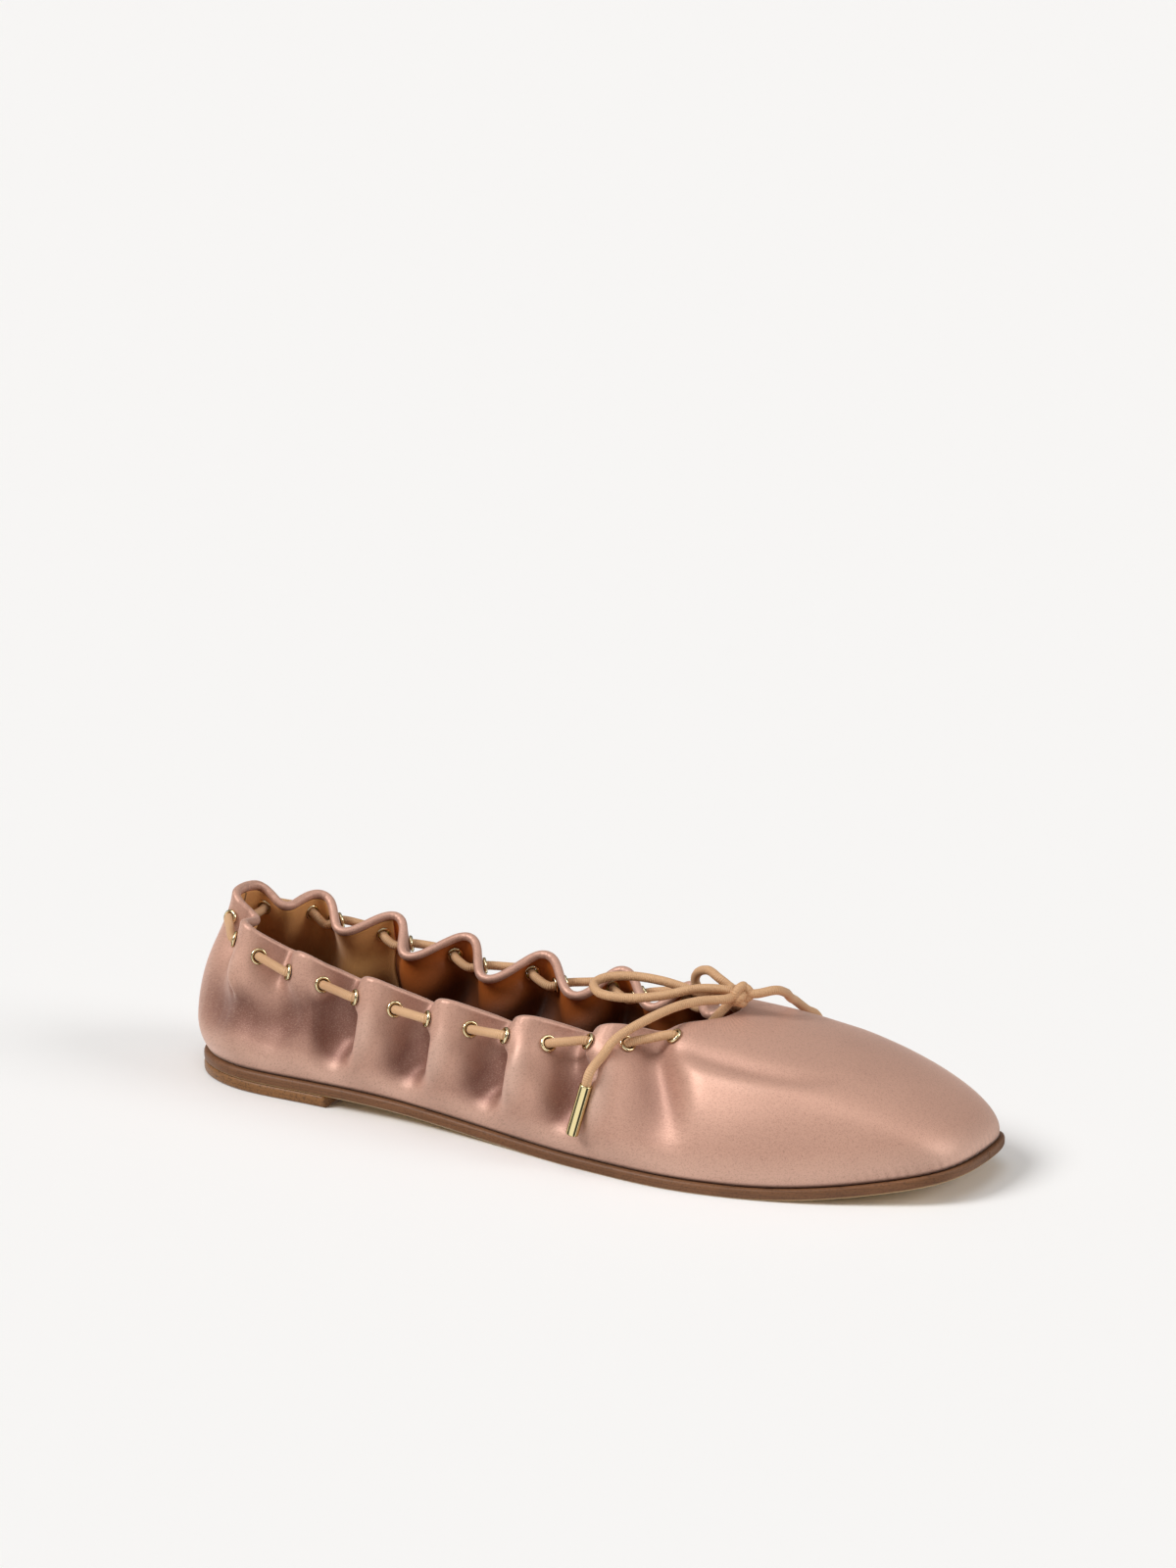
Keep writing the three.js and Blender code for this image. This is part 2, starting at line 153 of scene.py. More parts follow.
FOLDS = (
    Fold(17, 7.4, 1),
    Fold(41, 10.0, 4),
    Fold(65.5, 11.5, 7),
    Fold(90.5, 12.0, 8),
    Fold(116, 11.5, 9),
    Fold(141, 10.5, 8),
    Fold(165, 8.0, 5),
)


@dataclass
class Last:
    """The form the shoe is made on: the sole's profile, the foot's outline and the gathered wall.

    Round the shoe, t counts the stations from the heel along the near side to the toe and back along the far
    side. Up the wall, v runs from the foot (0) to the collar (1).
    """

    sole_thickness: float = 3.0
    heel_lift: float = 3.4
    heel_breast: float = 57.0
    flat_from: float = 138.0
    flat_to: float = 192.0
    toe_spring: float = 7.0
    spring_power: float = 1.8
    toe_end: float = 248.0
    trough_width: float = 6.4
    trough_dip: float = 0.55
    trough_fade: float = 1.15
    steps_a_station: int = 24
    foot_weight: float = 0.35
    ring: np.ndarray = field(init=False)
    table: np.ndarray = field(init=False)

    def __post_init__(self) -> None:
        """Joins the sections into a ring of stations and measures the collar."""
        x, near, far, top_x, top_near, top_far, top_z = SECTIONS[:, :7].T
        shared = [top_z, *SECTIONS[:, 7:].T]
        outer = np.column_stack([x, -near, top_x, -top_near, *shared])
        inner = np.column_stack([x, far, top_x, top_far, *shared])
        self.ring = np.vstack([outer, inner[-2:0:-1]])
        t = np.arange(len(self.ring) * self.steps_a_station + 1) / self.steps_a_station
        rows = self.stations(t)
        collar = np.linalg.norm(np.diff(rows[:, 2:5], axis=0), axis=1)
        foot = np.linalg.norm(np.diff(rows[:, :2], axis=0), axis=1)
        lengths = [np.r_[0, np.cumsum(step)] for step in (collar, collar + self.foot_weight * foot)]
        self.table = np.array([t, *lengths])

    @property
    def toe(self) -> float:
        """The station at the tip of the toe."""
        return len(SECTIONS) - 1

    @property
    def collar(self) -> float:
        """The collar's whole length over the ridges."""
        return self.table[1, -1]

    def tread(self, x: np.ndarray) -> np.ndarray:
        """Height of the tread: up on the lift, down through the arch, flat under the ball, up to the toe.

        Args:
            x: Places along the shoe.

        Returns:
            Heights above the floor.
        """
        back = self.heel_lift * (1.0 - smooth_step(self.heel_breast, self.flat_from, x))
        spring = np.maximum(0.0, (x - self.flat_to) / (self.toe_end - self.flat_to))
        return np.where(x < self.flat_from, back, self.toe_spring * spring**self.spring_power)

    def seat(self, x: np.ndarray) -> np.ndarray:
        """Height of what rests on the sole, a seam's gap above it.

        Args:
            x: Places along the shoe.

        Returns:
            Heights above the floor.
        """
        return self.tread(x) + self.sole_thickness + SEAM_GAP

    def stations(self, t: np.ndarray) -> np.ndarray:
        """Smooth curve through the ring's rows, column by column.

        Args:
            t: Places round the shoe, of any shape.

        Returns:
            Array of that shape with the nine columns x, y, top x, y, z, rise, swell, reach, drop last.
        """
        first = np.floor(t).astype(int)
        a, b, c, d = (self.ring[(first + k) % len(self.ring)] for k in (-1, 0, 1, 2))
        f = (t - first)[..., None]
        return b + 0.5 * f * (c - a + f * (2 * a - 5 * b + 4 * c - d + f * (3 * (b - c) + d - a)))

    def outwards(self, t: np.ndarray) -> np.ndarray:
        """Level direction that points straight out of the shoe at the foot.

        Args:
            t: Places round the shoe.

        Returns:
            Unit vectors.
        """
        step = self.stations(t + T_STEP) - self.stations(t - T_STEP)
        return unit(np.stack([step[..., 1], -step[..., 0], np.zeros_like(t)], axis=-1))

    def collar_at(self, t: np.ndarray) -> np.ndarray:
        """Length along the collar from the back seam at t."""
        return np.interp(np.mod(t, len(self.ring)), self.table[0], self.table[1])

    def t_at(self, length: np.ndarray) -> np.ndarray:
        """Place round the shoe at a length along the collar, negative on the far side."""
        return np.interp(np.mod(length, self.collar), self.table[1], self.table[0])

    def even_steps(self, count: int) -> np.ndarray:
        """Places round the shoe, evenly apart by the collar's length and a share of the foot's.

        Args:
            count: How many.

        Returns:
            Values of t, without the last, which is the first again.
        """
        return np.interp(np.arange(count) * self.table[2, -1] / count, self.table[2], self.table[0])

    def drawn_in(self, length: np.ndarray, v: np.ndarray) -> np.ndarray:
        """How far the folds draw the wall in: a bell round the middle of each fold, fading down the wall.

        Args:
            length: Places along the collar.
            v: Shares of the wall's height.

        Returns:
            Depths.
        """
        depth = np.zeros(np.broadcast(length, v).shape)
        for fold in FOLDS:
            for side in Side:
                off = length - side.value * (fold.at - fold.lean * (1.0 - v))
                off = off - self.collar * np.round(off / self.collar)
                depth += fold.depth * np.exp(-((off / self.trough_width) ** 2))
        return depth * v**self.trough_fade

    def surface(self, t: np.ndarray, v: np.ndarray) -> np.ndarray:
        """The wall: a cubic curve from foot to collar at each t, drawn in and down by the folds.

        Args:
            t: Places round the shoe.
            v: Shares of the height, of a shape that goes with t.

        Returns:
            Points, with their components last.
        """
        t, v = np.broadcast_arrays(np.asarray(t, float), np.asarray(v, float))
        s = self.stations(t)
        out = self.outwards(t)
        foot = np.stack([s[..., 0], s[..., 1], self.seat(s[..., 0])], axis=-1)
        top = s[..., 2:5]
        low = foot + out * s[..., 6:7] + UP * s[..., 5:6]
        high = top + out * s[..., 7:8] - UP * s[..., 8:9]
        w = v[..., None]
        wall = (1 - w) ** 3 * foot + 3 * w * (1 - w) ** 2 * low + 3 * w**2 * (1 - w) * high + w**3 * top
        depth = self.drawn_in(self.collar_at(t), v)[..., None]
        return wall - depth * (out + self.trough_dip * UP)

    def normal(self, t: np.ndarray, v: np.ndarray) -> np.ndarray:
        """Direction straight out of the wall.

        Args:
            t: Places round the shoe.
            v: Shares of the height.

        Returns:
            Unit vectors.
        """
        t, v = np.broadcast_arrays(np.asarray(t, float), np.asarray(v, float))
        along = self.surface(t + T_STEP, v) - self.surface(t - T_STEP, v)
        up = self.surface(t, np.minimum(1, v + V_STEP)) - self.surface(t, np.maximum(0, v - V_STEP))
        return unit(np.cross(along, up))

    def on_wall(self, side: Side, along: float, share: float, out: float) -> np.ndarray:
        """A point off the wall.

        Args:
            side: Side of the shoe.
            along: Length along the collar from the back seam.
            share: Share of the wall's height.
            out: Distance out from the wall.

        Returns:
            The point.
        """
        t = self.t_at(np.array(side.value * along))
        return self.surface(t, share) + out * self.normal(t, share)

    def share_below_rim(self, t: np.ndarray, length: float) -> float:
        """Share of the height at a straight length below the collar.

        Args:
            t: Place round the shoe.
            length: The length.

        Returns:
            The share.
        """
        shares = 1.0 - V_STEP * np.arange(round(1 / V_STEP))
        drop = np.linalg.norm(self.surface(t, shares) - self.surface(t, 1.0), axis=-1)
        return float(shares[np.argmax(drop >= length)])


@dataclass
class Surface:
    """A closed surface in millimetres.

    Attributes:
        points: Vertices, one a row.
        faces: Arrays of faces, quads or triangles.
        values: Named numbers for the material, one for each vertex.
    """

    points: np.ndarray
    faces: list[np.ndarray]
    values: dict[str, np.ndarray] = field(default_factory=dict)

    def volume(self) -> float:
        """Volume inside, negative where the faces turn inwards."""
        total = 0.0
        for faces in self.faces:
            for k in range(1, faces.shape[1] - 1):
                a, b, c = (self.points[faces[:, i]] for i in (0, k, k + 1))
                total += float(np.einsum("ij,ij->i", a, np.cross(b, c)).sum()) / 6.0
        return total


def grid_surface(points: np.ndarray, closed_rows: bool, poles: np.ndarray | None = None) -> Surface:
    """Joins a grid of points into a closed surface. Each row is a closed loop.

    Args:
        points: Grid of rows, places and components.
        closed_rows: Whether the last row joins the first.
        poles: Points that close the first and the last row, where those don't join.

    Returns:
        The surface.
    """
    rows, places = points.shape[:2]
    i = np.arange(rows if closed_rows else rows - 1)[:, None]
    j = np.arange(places)[None, :]
    right, below = (j + 1) % places, ((i + 1) % rows) * places
    quads = np.stack([i * places + j, i * places + right, below + right, below + j], axis=-1).reshape(-1, 4)
    vertices, faces = points.reshape(-1, 3), [quads]
    if poles is not None:
        first = np.arange(places)
        after = (first + 1) % places
        last = (rows - 1) * places
        tip = np.full(places, len(vertices))
        faces.append(np.stack([tip, after, first], axis=-1))
        faces.append(np.stack([tip + 1, last + first, last + after], axis=-1))
        vertices = np.vstack([vertices, poles])
    surface = Surface(vertices, faces)
    if surface.volume() < 0:
        surface.faces = [faces[:, ::-1] for faces in surface.faces]
    return surface


def mesh_of(name: str, surface: Surface) -> bpy.types.Mesh:
    """Makes a smooth mesh of a surface, in metres in the row's frame.

    Args:
        name: The mesh's name.
        surface: Its shape.

    Returns:
        The mesh.
    """
    mesh = bpy.data.meshes.new(name)
    faces = [face for array in surface.faces for face in array.tolist()]
    mesh.from_pydata(((surface.points - BOX_CENTRE) * MM).tolist(), [], faces)
    for key, values in surface.values.items():
        mesh.attributes.new(key, "FLOAT", "POINT").data.foreach_set("value", values.astype(np.float32))
    mesh.polygons.foreach_set("use_smooth", np.ones(len(mesh.polygons), bool))
    mesh.update()
    return mesh


def add_object(name: str, data: bpy.types.ID) -> bpy.types.Object:
    """Adds an object to the scene.

    Args:
        name: Its name.
        data: Its mesh, camera or light.

    Returns:
        The object.
    """
    made = bpy.data.objects.new(name, data)
    bpy.context.scene.collection.objects.link(made)
    return made


def make_piece(
    name: str, surface: Surface, material: bpy.types.Material, slot: Slot, *nodes: str
) -> bpy.types.Object:
    """Makes a Blender piece of a surface, riding on the shoe's body.

    Args:
        name: The piece's name.
        surface: Its shape.
        material: Its finish.
        slot: Material slot that the finish belongs to. Not used.
        nodes: CAD nodes that it stands for.

    Returns:
        The object.
    """
    mesh = mesh_of(name, surface)
    mesh.materials.append(material)
    piece = add_object(name, mesh)
    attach(piece, BODY)
    if nodes:
        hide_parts(*nodes)
    return piece


def smooth_path(points: np.ndarray, spacing: float) -> np.ndarray:
    """A smooth curve through points, the centripetal kind, in even steps.

    Args:
        points: The points it passes through.
        spacing: Length of a step.

    Returns:
        Points along the curve.
    """
    ends = [2 * points[0] - points[1]], [2 * points[-1] - points[-2]]
    p = np.vstack([ends[0], points, ends[1]])
    knots = np.sqrt(np.linalg.norm(np.diff(p, axis=0), axis=1))[:, None]
    before, here, after = knots[:-2], knots[1:-1], knots[2:]
    a, b, c, d = p[:-3], p[1:-2], p[2:-1], p[3:]
    out = ((b - a) / before - (c - a) / (before + here) + (c - b) / here) * here
    into = ((c - b) / here - (d - b) / (here + after) + (d - c) / after) * here
    f = np.linspace(0, 1, PATH_STEPS, endpoint=False)[None, :, None]
    b, c, out, into = (array[:, None, :] for array in (b, c, out, into))
    dense = b + f * (out + f * (3 * (c - b) - 2 * out - into + f * (2 * (b - c) + out + into)))
    dense = np.vstack([dense.reshape(-1, 3), points[-1:]])
    run = np.r_[0, np.cumsum(np.linalg.norm(np.diff(dense, axis=0), axis=1))]
    even = np.linspace(0, run[-1], max(2, round(run[-1] / spacing)) + 1)
    return np.column_stack([np.interp(even, run, dense[:, k]) for k in range(3)])


def path_length(path: np.ndarray) -> float:
    """Length of a path in millimetres."""
    return float(np.linalg.norm(np.diff(path, axis=0), axis=1).sum())


def tube(path: np.ndarray, radius: float, sides: int, reference: np.ndarray) -> Surface:
    """A round cord: a circle carried square along a path, with flat ends.

    Args:
        path: Points of its middle line.
        radius: Radius of the circle.
        sides: Corners of the circle.
        reference: Direction, or one for each point, that the circle's first corner turns to.

    Returns:
        The surface, with the length along it in metres as run.
    """
    tangent = unit(np.gradient(path, axis=0))
    across = unit(np.cross(tangent, np.broadcast_to(reference, path.shape)))
    up = np.cross(across, tangent)
    angle = np.linspace(0, 2 * np.pi, sides, endpoint=False)[None, :, None]
    rings = path[:, None, :] + radius * (np.cos(angle) * up[:, None, :] + np.sin(angle) * across[:, None, :])
    surface = grid_surface(rings, False, path[[0, -1]])
    run = np.r_[0, np.cumsum(np.linalg.norm(np.diff(path, axis=0), axis=1))]
    surface.values["run"] = np.r_[np.repeat(run, sides), run[[0, -1]]] * MM
    return surface


def lathe(profile: np.ndarray, foot: np.ndarray, axis: np.ndarray, sides: int, closed: bool) -> Surface:
    """Turns a profile of radius and height about an axis.

    Args:
        profile: Rows of radius and height.
        foot: Where the axis begins.
        axis: Its direction.
        sides: Steps of the turn.
        closed: Whether the profile is a loop. Otherwise it begins and ends on the axis.

    Returns:
        The surface.
    """
    first = unit(np.cross(axis, UP if abs(axis[2]) < UPRIGHT else FORWARDS))
    second = np.cross(axis, first)
    angle = np.linspace(0, 2 * np.pi, sides, endpoint=False)[None, :, None]
    turn = np.cos(angle) * first + np.sin(angle) * second
    rings = foot + profile[:, 1, None, None] * axis + profile[:, 0, None, None] * turn
    if closed:
        return grid_surface(rings, True)
    return grid_surface(rings[1:-1], False, foot + profile[[0, -1], 1][:, None] * axis)


def linear(red: int, green: int, blue: int) -> tuple[float, float, float, float]:
    """Turns a colour as it shows on a screen, 0 to 255, into light values.

    Args:
        red: Red.
        green: Green.
        blue: Blue.

    Returns:
        Linear red, green, blue and an alpha of 1.
    """
    share = np.array([red, green, blue]) / 255.0
    light = np.where(share <= 0.04045, share / 12.92, ((share + 0.055) / 1.055) ** 2.4)
    return (float(light[0]), float(light[1]), float(light[2]), 1.0)


def add_node(tree: bpy.types.NodeTree, kind: str, settings: dict | None = None, **inputs) -> bpy.types.Node:
    """Adds a node and fills its inputs.

    Args:
        tree: Tree that it goes in.
        kind: Blender's name for the node.
        settings: Properties of the node.
        inputs: Values or sockets for the inputs, an underscore standing for a space in their names.

    Returns:
        The node.
    """
    node = tree.nodes.new(kind)
    for key, value in (settings or {}).items():
        setattr(node, key, value)
    for key, value in inputs.items():
        socket = node.inputs[int(key[1:])] if key[1:].isdigit() else node.inputs[key.replace("_", " ")]
        if isinstance(value, bpy.types.NodeSocket):
            tree.links.new(value, socket)
        else:
            socket.default_value = value
    return node


def new_group(
    name: str, takes: tuple[str, ...], gives: tuple[str, ...]
) -> tuple[bpy.types.NodeTree, dict, bpy.types.Node]:
    """Begins a shader node group of numbers.

    Args:
        name: Its name.
        takes: Names of its inputs.
        gives: Names of its outputs.

    Returns:
        The group, its input sockets by name, and its output node.
    """
    group = bpy.data.node_groups.new(name, "ShaderNodeTree")
    for in_out, labels in (("INPUT", takes), ("OUTPUT", gives)):
        for label in labels:
            group.interface.new_socket(label, in_out=in_out, socket_type="NodeSocketFloat")
    inside = group.nodes.new("NodeGroupInput")
    return group, {label: inside.outputs[label] for label in takes}, group.nodes.new("NodeGroupOutput")


def maths(
    tree: bpy.types.NodeTree, operation: str, a: object, b: object = 0.0, c: object = 0.0
) -> bpy.types.NodeSocket:
    """Adds a sum of up to three values and gives its result.

    Args:
        tree: Tree that it goes in.
        operation: Blender's name for it.
        a: First value or socket.
        b: Second value or socket.
        c: Third value or socket.

    Returns:
        The result's socket.
    """
    return add_node(tree, "ShaderNodeMath", {"operation": operation}, _0=a, _1=b, _2=c).outputs[0]


def ranged(
    tree: bpy.types.NodeTree, value: bpy.types.NodeSocket, low: float, high: float, most: float
) -> bpy.types.NodeSocket:
    """Turns a value into a mask: 0 at low, most at high, held at both ends.

    Args:
        tree: Tree that it goes in.
        value: The value.
        low: Where the mask is 0.
        high: Where the mask is most.
        most: Its highest value.

    Returns:
        The mask's socket.
    """
    node = add_node(tree, "ShaderNodeMapRange", Value=value, From_Min=low, From_Max=high, To_Max=most)
    return node.outputs[0]


def noise(
    tree: bpy.types.NodeTree, place: bpy.types.NodeSocket, scale: object, detail: float
) -> bpy.types.NodeSocket:
    """Adds noise.

    Args:
        tree: Tree that it goes in.
        place: Where it is read.
        scale: Its fineness, a value or a socket.
        detail: How many finer layers it has.

    Returns:
        The noise, 0 to 1.
    """
    return add_node(tree, "ShaderNodeTexNoise", Vector=place, Scale=scale, Detail=detail).outputs[0]


def attribute(tree: bpy.types.NodeTree, name: str) -> bpy.types.NodeSocket:
    """Reads one of the mesh's named numbers.

    Args:
        tree: The material's nodes.
        name: The number's name.

    Returns:
        The number.
    """
    return add_node(tree, "ShaderNodeAttribute", {"attribute_name": name}).outputs["Fac"]


def ribs(tree: bpy.types.NodeTree, name: str, pitch: float) -> bpy.types.NodeSocket:
    """Makes a wave along one of the mesh's named lengths.

    Args:
        tree: The material's nodes.
        name: The length's name.
        pitch: Length of a wave in millimetres.

    Returns:
        The wave, -1 to 1.
    """
    return maths(tree, "SINE", maths(tree, "MULTIPLY", attribute(tree, name), 2 * math.pi / (pitch * MM)))


def object_place(tree: bpy.types.NodeTree) -> bpy.types.NodeSocket:
    """Reads the place on the object.

    Args:
        tree: The material's nodes.

    Returns:
        The place in metres.
    """
    return add_node(tree, "ShaderNodeTexCoord").outputs["Object"]


def split(tree: bpy.types.NodeTree, vector: bpy.types.NodeSocket) -> bpy.types.NodeOutputs:
    """Splits a vector.

    Args:
        tree: Tree that it goes in.
        vector: The vector.

    Returns:
        Its components by the names X, Y and Z.
    """
    return add_node(tree, "ShaderNodeSeparateXYZ", Vector=vector).outputs


class Effects:
    """The shader groups that several finishes share, each made once.

    Attributes:
        thread_turn: How the threads are turned against the shoe, in radians.
        thread_stretch: How a thread is drawn out.
        cloth_mottle: Fineness of the cloth's mottle.
        leather_mottle: Fineness of the leather's mottle.
        creases: Share of the cells in the leather's height.
        fleck_stretch: How a fleck is drawn out.
        fleck_size: Fineness of the flecks.
        flecked: Band of the noise that makes flecks.
        lined: Band of a layer's height that makes its line.
    """

    thread_turn: tuple[float, float, float] = (0.0, 0.5, 0.45)
    thread_stretch: tuple[float, float, float] = (0.2, 1.0, 1.0)
    cloth_mottle: float = 38.0
    leather_mottle: float = 70.0
    creases: float = 0.5
    fleck_stretch: tuple[float, float, float] = (1.0, 1.0, 1.7)
    fleck_size: float = 1500.0
    flecked: Band = (0.5, 0.66, 1.0)
    lined: Band = (0.86, 0.97, 1.0)

    def __init__(self) -> None:
        """Makes the groups."""
        self.threads = self._threads()
        self.grain = self._grain()
        self.flecks = self._flecks()

    @staticmethod
    def _give(group: bpy.types.NodeTree, gives: bpy.types.Node, **results: bpy.types.NodeSocket) -> None:
        """Links a group's results to its output node.

        Args:
            group: The group.
            gives: Its output node.
            results: Results by the names of the outputs.
        """
        for label, result in results.items():
            group.links.new(result, gives.inputs[label])

    def _threads(self) -> bpy.types.NodeTree:
        """Cloth: fine threads along the shoe and a little across it, slubs here and there, and mottle."""
        results = ("Height", "Slub", "Mottle")
        group, takes, gives = new_group("cloth_threads", ("Fineness", "Slub Size"), results)
        place = object_place(group)
        turned = add_node(group, "ShaderNodeMapping", Vector=place, Rotation=self.thread_turn).outputs[0]
        drawn = add_node(group, "ShaderNodeMapping", Vector=turned, Scale=self.thread_stretch).outputs[0]
        fine = noise(group, drawn, takes["Fineness"], detail=2.0)
        slub = noise(group, drawn, takes["Slub Size"], detail=3.0)
        broad = noise(group, place, self.cloth_mottle, detail=2.0)
        self._give(group, gives, Height=fine, Slub=slub, Mottle=broad)
        return group

    def _grain(self) -> bpy.types.NodeTree:
        """Leather: small cells with soft creases between them, and broad mottle."""
        group, takes, gives = new_group("leather_grain", ("Cells",), ("Height", "Mottle"))
        place = object_place(group)
        cells = add_node(group, "ShaderNodeTexVoronoi", Vector=place, Scale=takes["Cells"])
        nap = noise(group, place, takes["Cells"], detail=4.0)
        height = maths(group, "MULTIPLY_ADD", cells.outputs["Distance"], self.creases, nap)
        broad = noise(group, place, self.leather_mottle, detail=5.0)
        self._give(group, gives, Height=height, Mottle=broad)
        return group

    def _flecks(self) -> bpy.types.NodeTree:
        """Leather board: short dark flecks laid level, and the lines between its layers."""
        group, takes, gives = new_group("board_flecks", ("Layer",), ("Flecks", "Lines"))
        place = object_place(group)
        level = add_node(group, "ShaderNodeMapping", Vector=place, Scale=self.fleck_stretch).outputs[0]
        flecks = ranged(group, noise(group, level, self.fleck_size, detail=2.0), *self.flecked)
        layer = maths(group, "FRACT", maths(group, "DIVIDE", split(group, place)["Z"], takes["Layer"]))
        self._give(group, gives, Flecks=flecks, Lines=ranged(group, layer, *self.lined))
        return group


@dataclass(frozen=True)
class Finish:
    """A finish that is one colour with some mottle and a bump.

    Attributes:
        name: The material's name.
        colour: Colour on a screen, 0 to 255.
        deep: Colour of its darker places.
        roughness: How matt it is.
        specular: Strength of its shine.
        sheen: Strength of the soft light on its nap.
        nap: How matt that light is.
        metallic: 1 for metal.
        bump: Height of its bump in millimetres.
    """

    name: str
    colour: Rgb
    deep: Rgb
    roughness: float = 0.5
    specular: float = 0.5
    sheen: float = 0.0
    nap: float = 0.4
    metallic: float = 0.0
    bump: float = 0.05

    def begin(self) -> tuple[bpy.types.Material, bpy.types.NodeTree, bpy.types.Node]:
        """Makes the material with the values that are the same all over.

        Returns:
            The material, its node tree and its shader.
        """
        material = bpy.data.materials.new(self.name)
        material.use_nodes = True
        tree = material.node_tree
        shader = tree.nodes["Principled BSDF"]
        constants = {
            "Roughness": self.roughness,
            "Specular IOR Level": self.specular,
            "Sheen Weight": self.sheen,
            "Sheen Roughness": self.nap,
            "Metallic": self.metallic,
            "Base Color": linear(*self.colour),
        }
        for label, value in constants.items():
            shader.inputs[label].default_value = value
        return material, tree, shader

    def paint(self, tree: bpy.types.NodeTree, shader: bpy.types.Node, *layers: tuple) -> None:
        """Lays other colours over the base colour.

        Args:
            tree: The material's nodes.
            shader: The shader that gets the colour.
            layers: Masks with the colours that they bring in.
        """
        colour: object = linear(*self.colour)
        for mask, over in layers:
            inputs = {"Factor": mask, "_6": colour, "_7": linear(*over)}
            colour = add_node(tree, "ShaderNodeMix", {"data_type": "RGBA"}, **inputs).outputs[2]
        tree.links.new(colour, shader.inputs["Base Color"])

    def bumped(self, tree: bpy.types.NodeTree, height: bpy.types.NodeSocket, shader: bpy.types.Node) -> None:
        """Gives the shader a bump.

        Args:
            tree: The material's nodes.
            height: Height of the bump, about 0 to 1.
            shader: The shader.
        """
        bump = add_node(tree, "ShaderNodeBump", Height=height, Distance=self.bump * MM, Strength=1.0)
        tree.links.new(bump.outputs[0], shader.inputs["Normal"])


@dataclass(frozen=True)
class Satin(Finish):
    """Satin cloth: threads along the shoe, fine pulls over the toe's edge and a dark line at its foot.

    Painted shade deepens its colour in the folds and a painted highlight lightens the ridges beside them,
    read from fold, and the wall along the foot, read from share.

    Attributes:
        fineness: Threads to a metre.
        slub: Slubs to a metre.
        light: Colour of the raised threads.
        ridge: Colour of the painted highlight on the ridges and along the foot.
        seam: Colour of the line at the foot.
        nap_tint: Colour of the soft light on the nap.
        pull: Pitch of the pulls in millimetres.
        pulled: Band of the wall's height that the toe's pulls fade over.
        toe: Band of metres along the shoe that they grow over.
        puckered: Band of the wall's height that the puckers under the collar grow over.
        mottled: Band of the mottle that deepens the colour.
        painted_fold_shade: Band of fold over which shade is painted into the troughs.
        ridged: Band of fold over which a highlight is painted onto the ridges.
        painted_foot_highlight: Band of the wall's height over which a highlight is painted along the foot.
        raised: Band of the threads' height that lightens it.
        sunk: Band of the threads' height that deepens it.
        slubbed: Band of the slubs that deepens it.
        seamed: Band of the wall's height that makes the line at the foot.
    """

    fineness: float = 3400.0
    slub: float = 1500.0
    light: Rgb = (216, 174, 150)
    ridge: Rgb = (228, 191, 172)
    seam: Rgb = (58, 32, 24)
    nap_tint: Rgb = (255, 234, 224)
    pull: float = 2.7
    pulled: Band = (0.13, 0.02, 1.0)
    toe: Band = (0.088, 0.112, 2.2)
    puckered: Band = (0.9, 0.96, 0.8)
    mottled: Band = (0.4, 0.75, 0.12)
    # Bands of painted shade in the folds and of painted highlight on the ridges and along the foot.
    painted_fold_shade: Band = (0.04, 0.85, 0.8)
    ridged: Band = (-0.03, -0.45, 0.75)
    painted_foot_highlight: Band = (0.24, 0.08, 0.4)
    raised: Band = (0.52, 0.8, 0.4)
    sunk: Band = (0.48, 0.2, 0.4)
    slubbed: Band = (0.5, 0.75, 0.14)
    seamed: Band = (0.03, 0.004, 0.75)

    def pulls(self, tree: bpy.types.NodeTree, share: bpy.types.NodeSocket) -> bpy.types.NodeSocket:
        """Small pulls: round the toe, fading above the feather edge, and puckers under the collar.

        Args:
            tree: The material's nodes.
            share: Share of the wall's height.

        Returns:
            Their height.
        """
        wave = ribs(tree, "foot_run", self.pull)
        low = ranged(tree, share, *self.pulled)
        toe = ranged(tree, split(tree, object_place(tree))["X"], *self.toe)
        puckers = ranged(tree, share, *self.puckered)
        return maths(tree, "MULTIPLY", wave, maths(tree, "MULTIPLY_ADD", low, toe, puckers))

    def material(self, effects: Effects) -> bpy.types.Material:
        """Makes the material.

        Args:
            effects: The shared groups.

        Returns:
            The material.
        """
        material, tree, shader = self.begin()
        sizes = {"Fineness": self.fineness, "Slub_Size": self.slub}
        threads = add_node(tree, "ShaderNodeGroup", {"node_tree": effects.threads}, **sizes)
        height, slub, mottle = (threads.outputs[label] for label in ("Height", "Slub", "Mottle"))
        share, fold = attribute(tree, "share"), attribute(tree, "fold")
        self.paint(
            tree,
            shader,
            (ranged(tree, mottle, *self.mottled), self.deep),
            # Painted shade in the troughs of the folds.
            (ranged(tree, fold, *self.painted_fold_shade), self.deep),
            # Painted highlight on the ridges beside the troughs.
            (ranged(tree, fold, *self.ridged), self.ridge),
            # Painted highlight along the foot, standing in for the floor's reflection.
            (ranged(tree, share, *self.painted_foot_highlight), self.ridge),
            (ranged(tree, height, *self.raised), self.light),
            (ranged(tree, height, *self.sunk), self.deep),
            (ranged(tree, slub, *self.slubbed), self.deep),
            (ranged(tree, share, *self.seamed), self.seam),
        )
        cloth = maths(tree, "ADD", height, slub)
        self.bumped(tree, maths(tree, "ADD", cloth, self.pulls(tree, share)), shader)
        shader.inputs["Sheen Tint"].default_value = linear(*self.nap_tint)
        return material


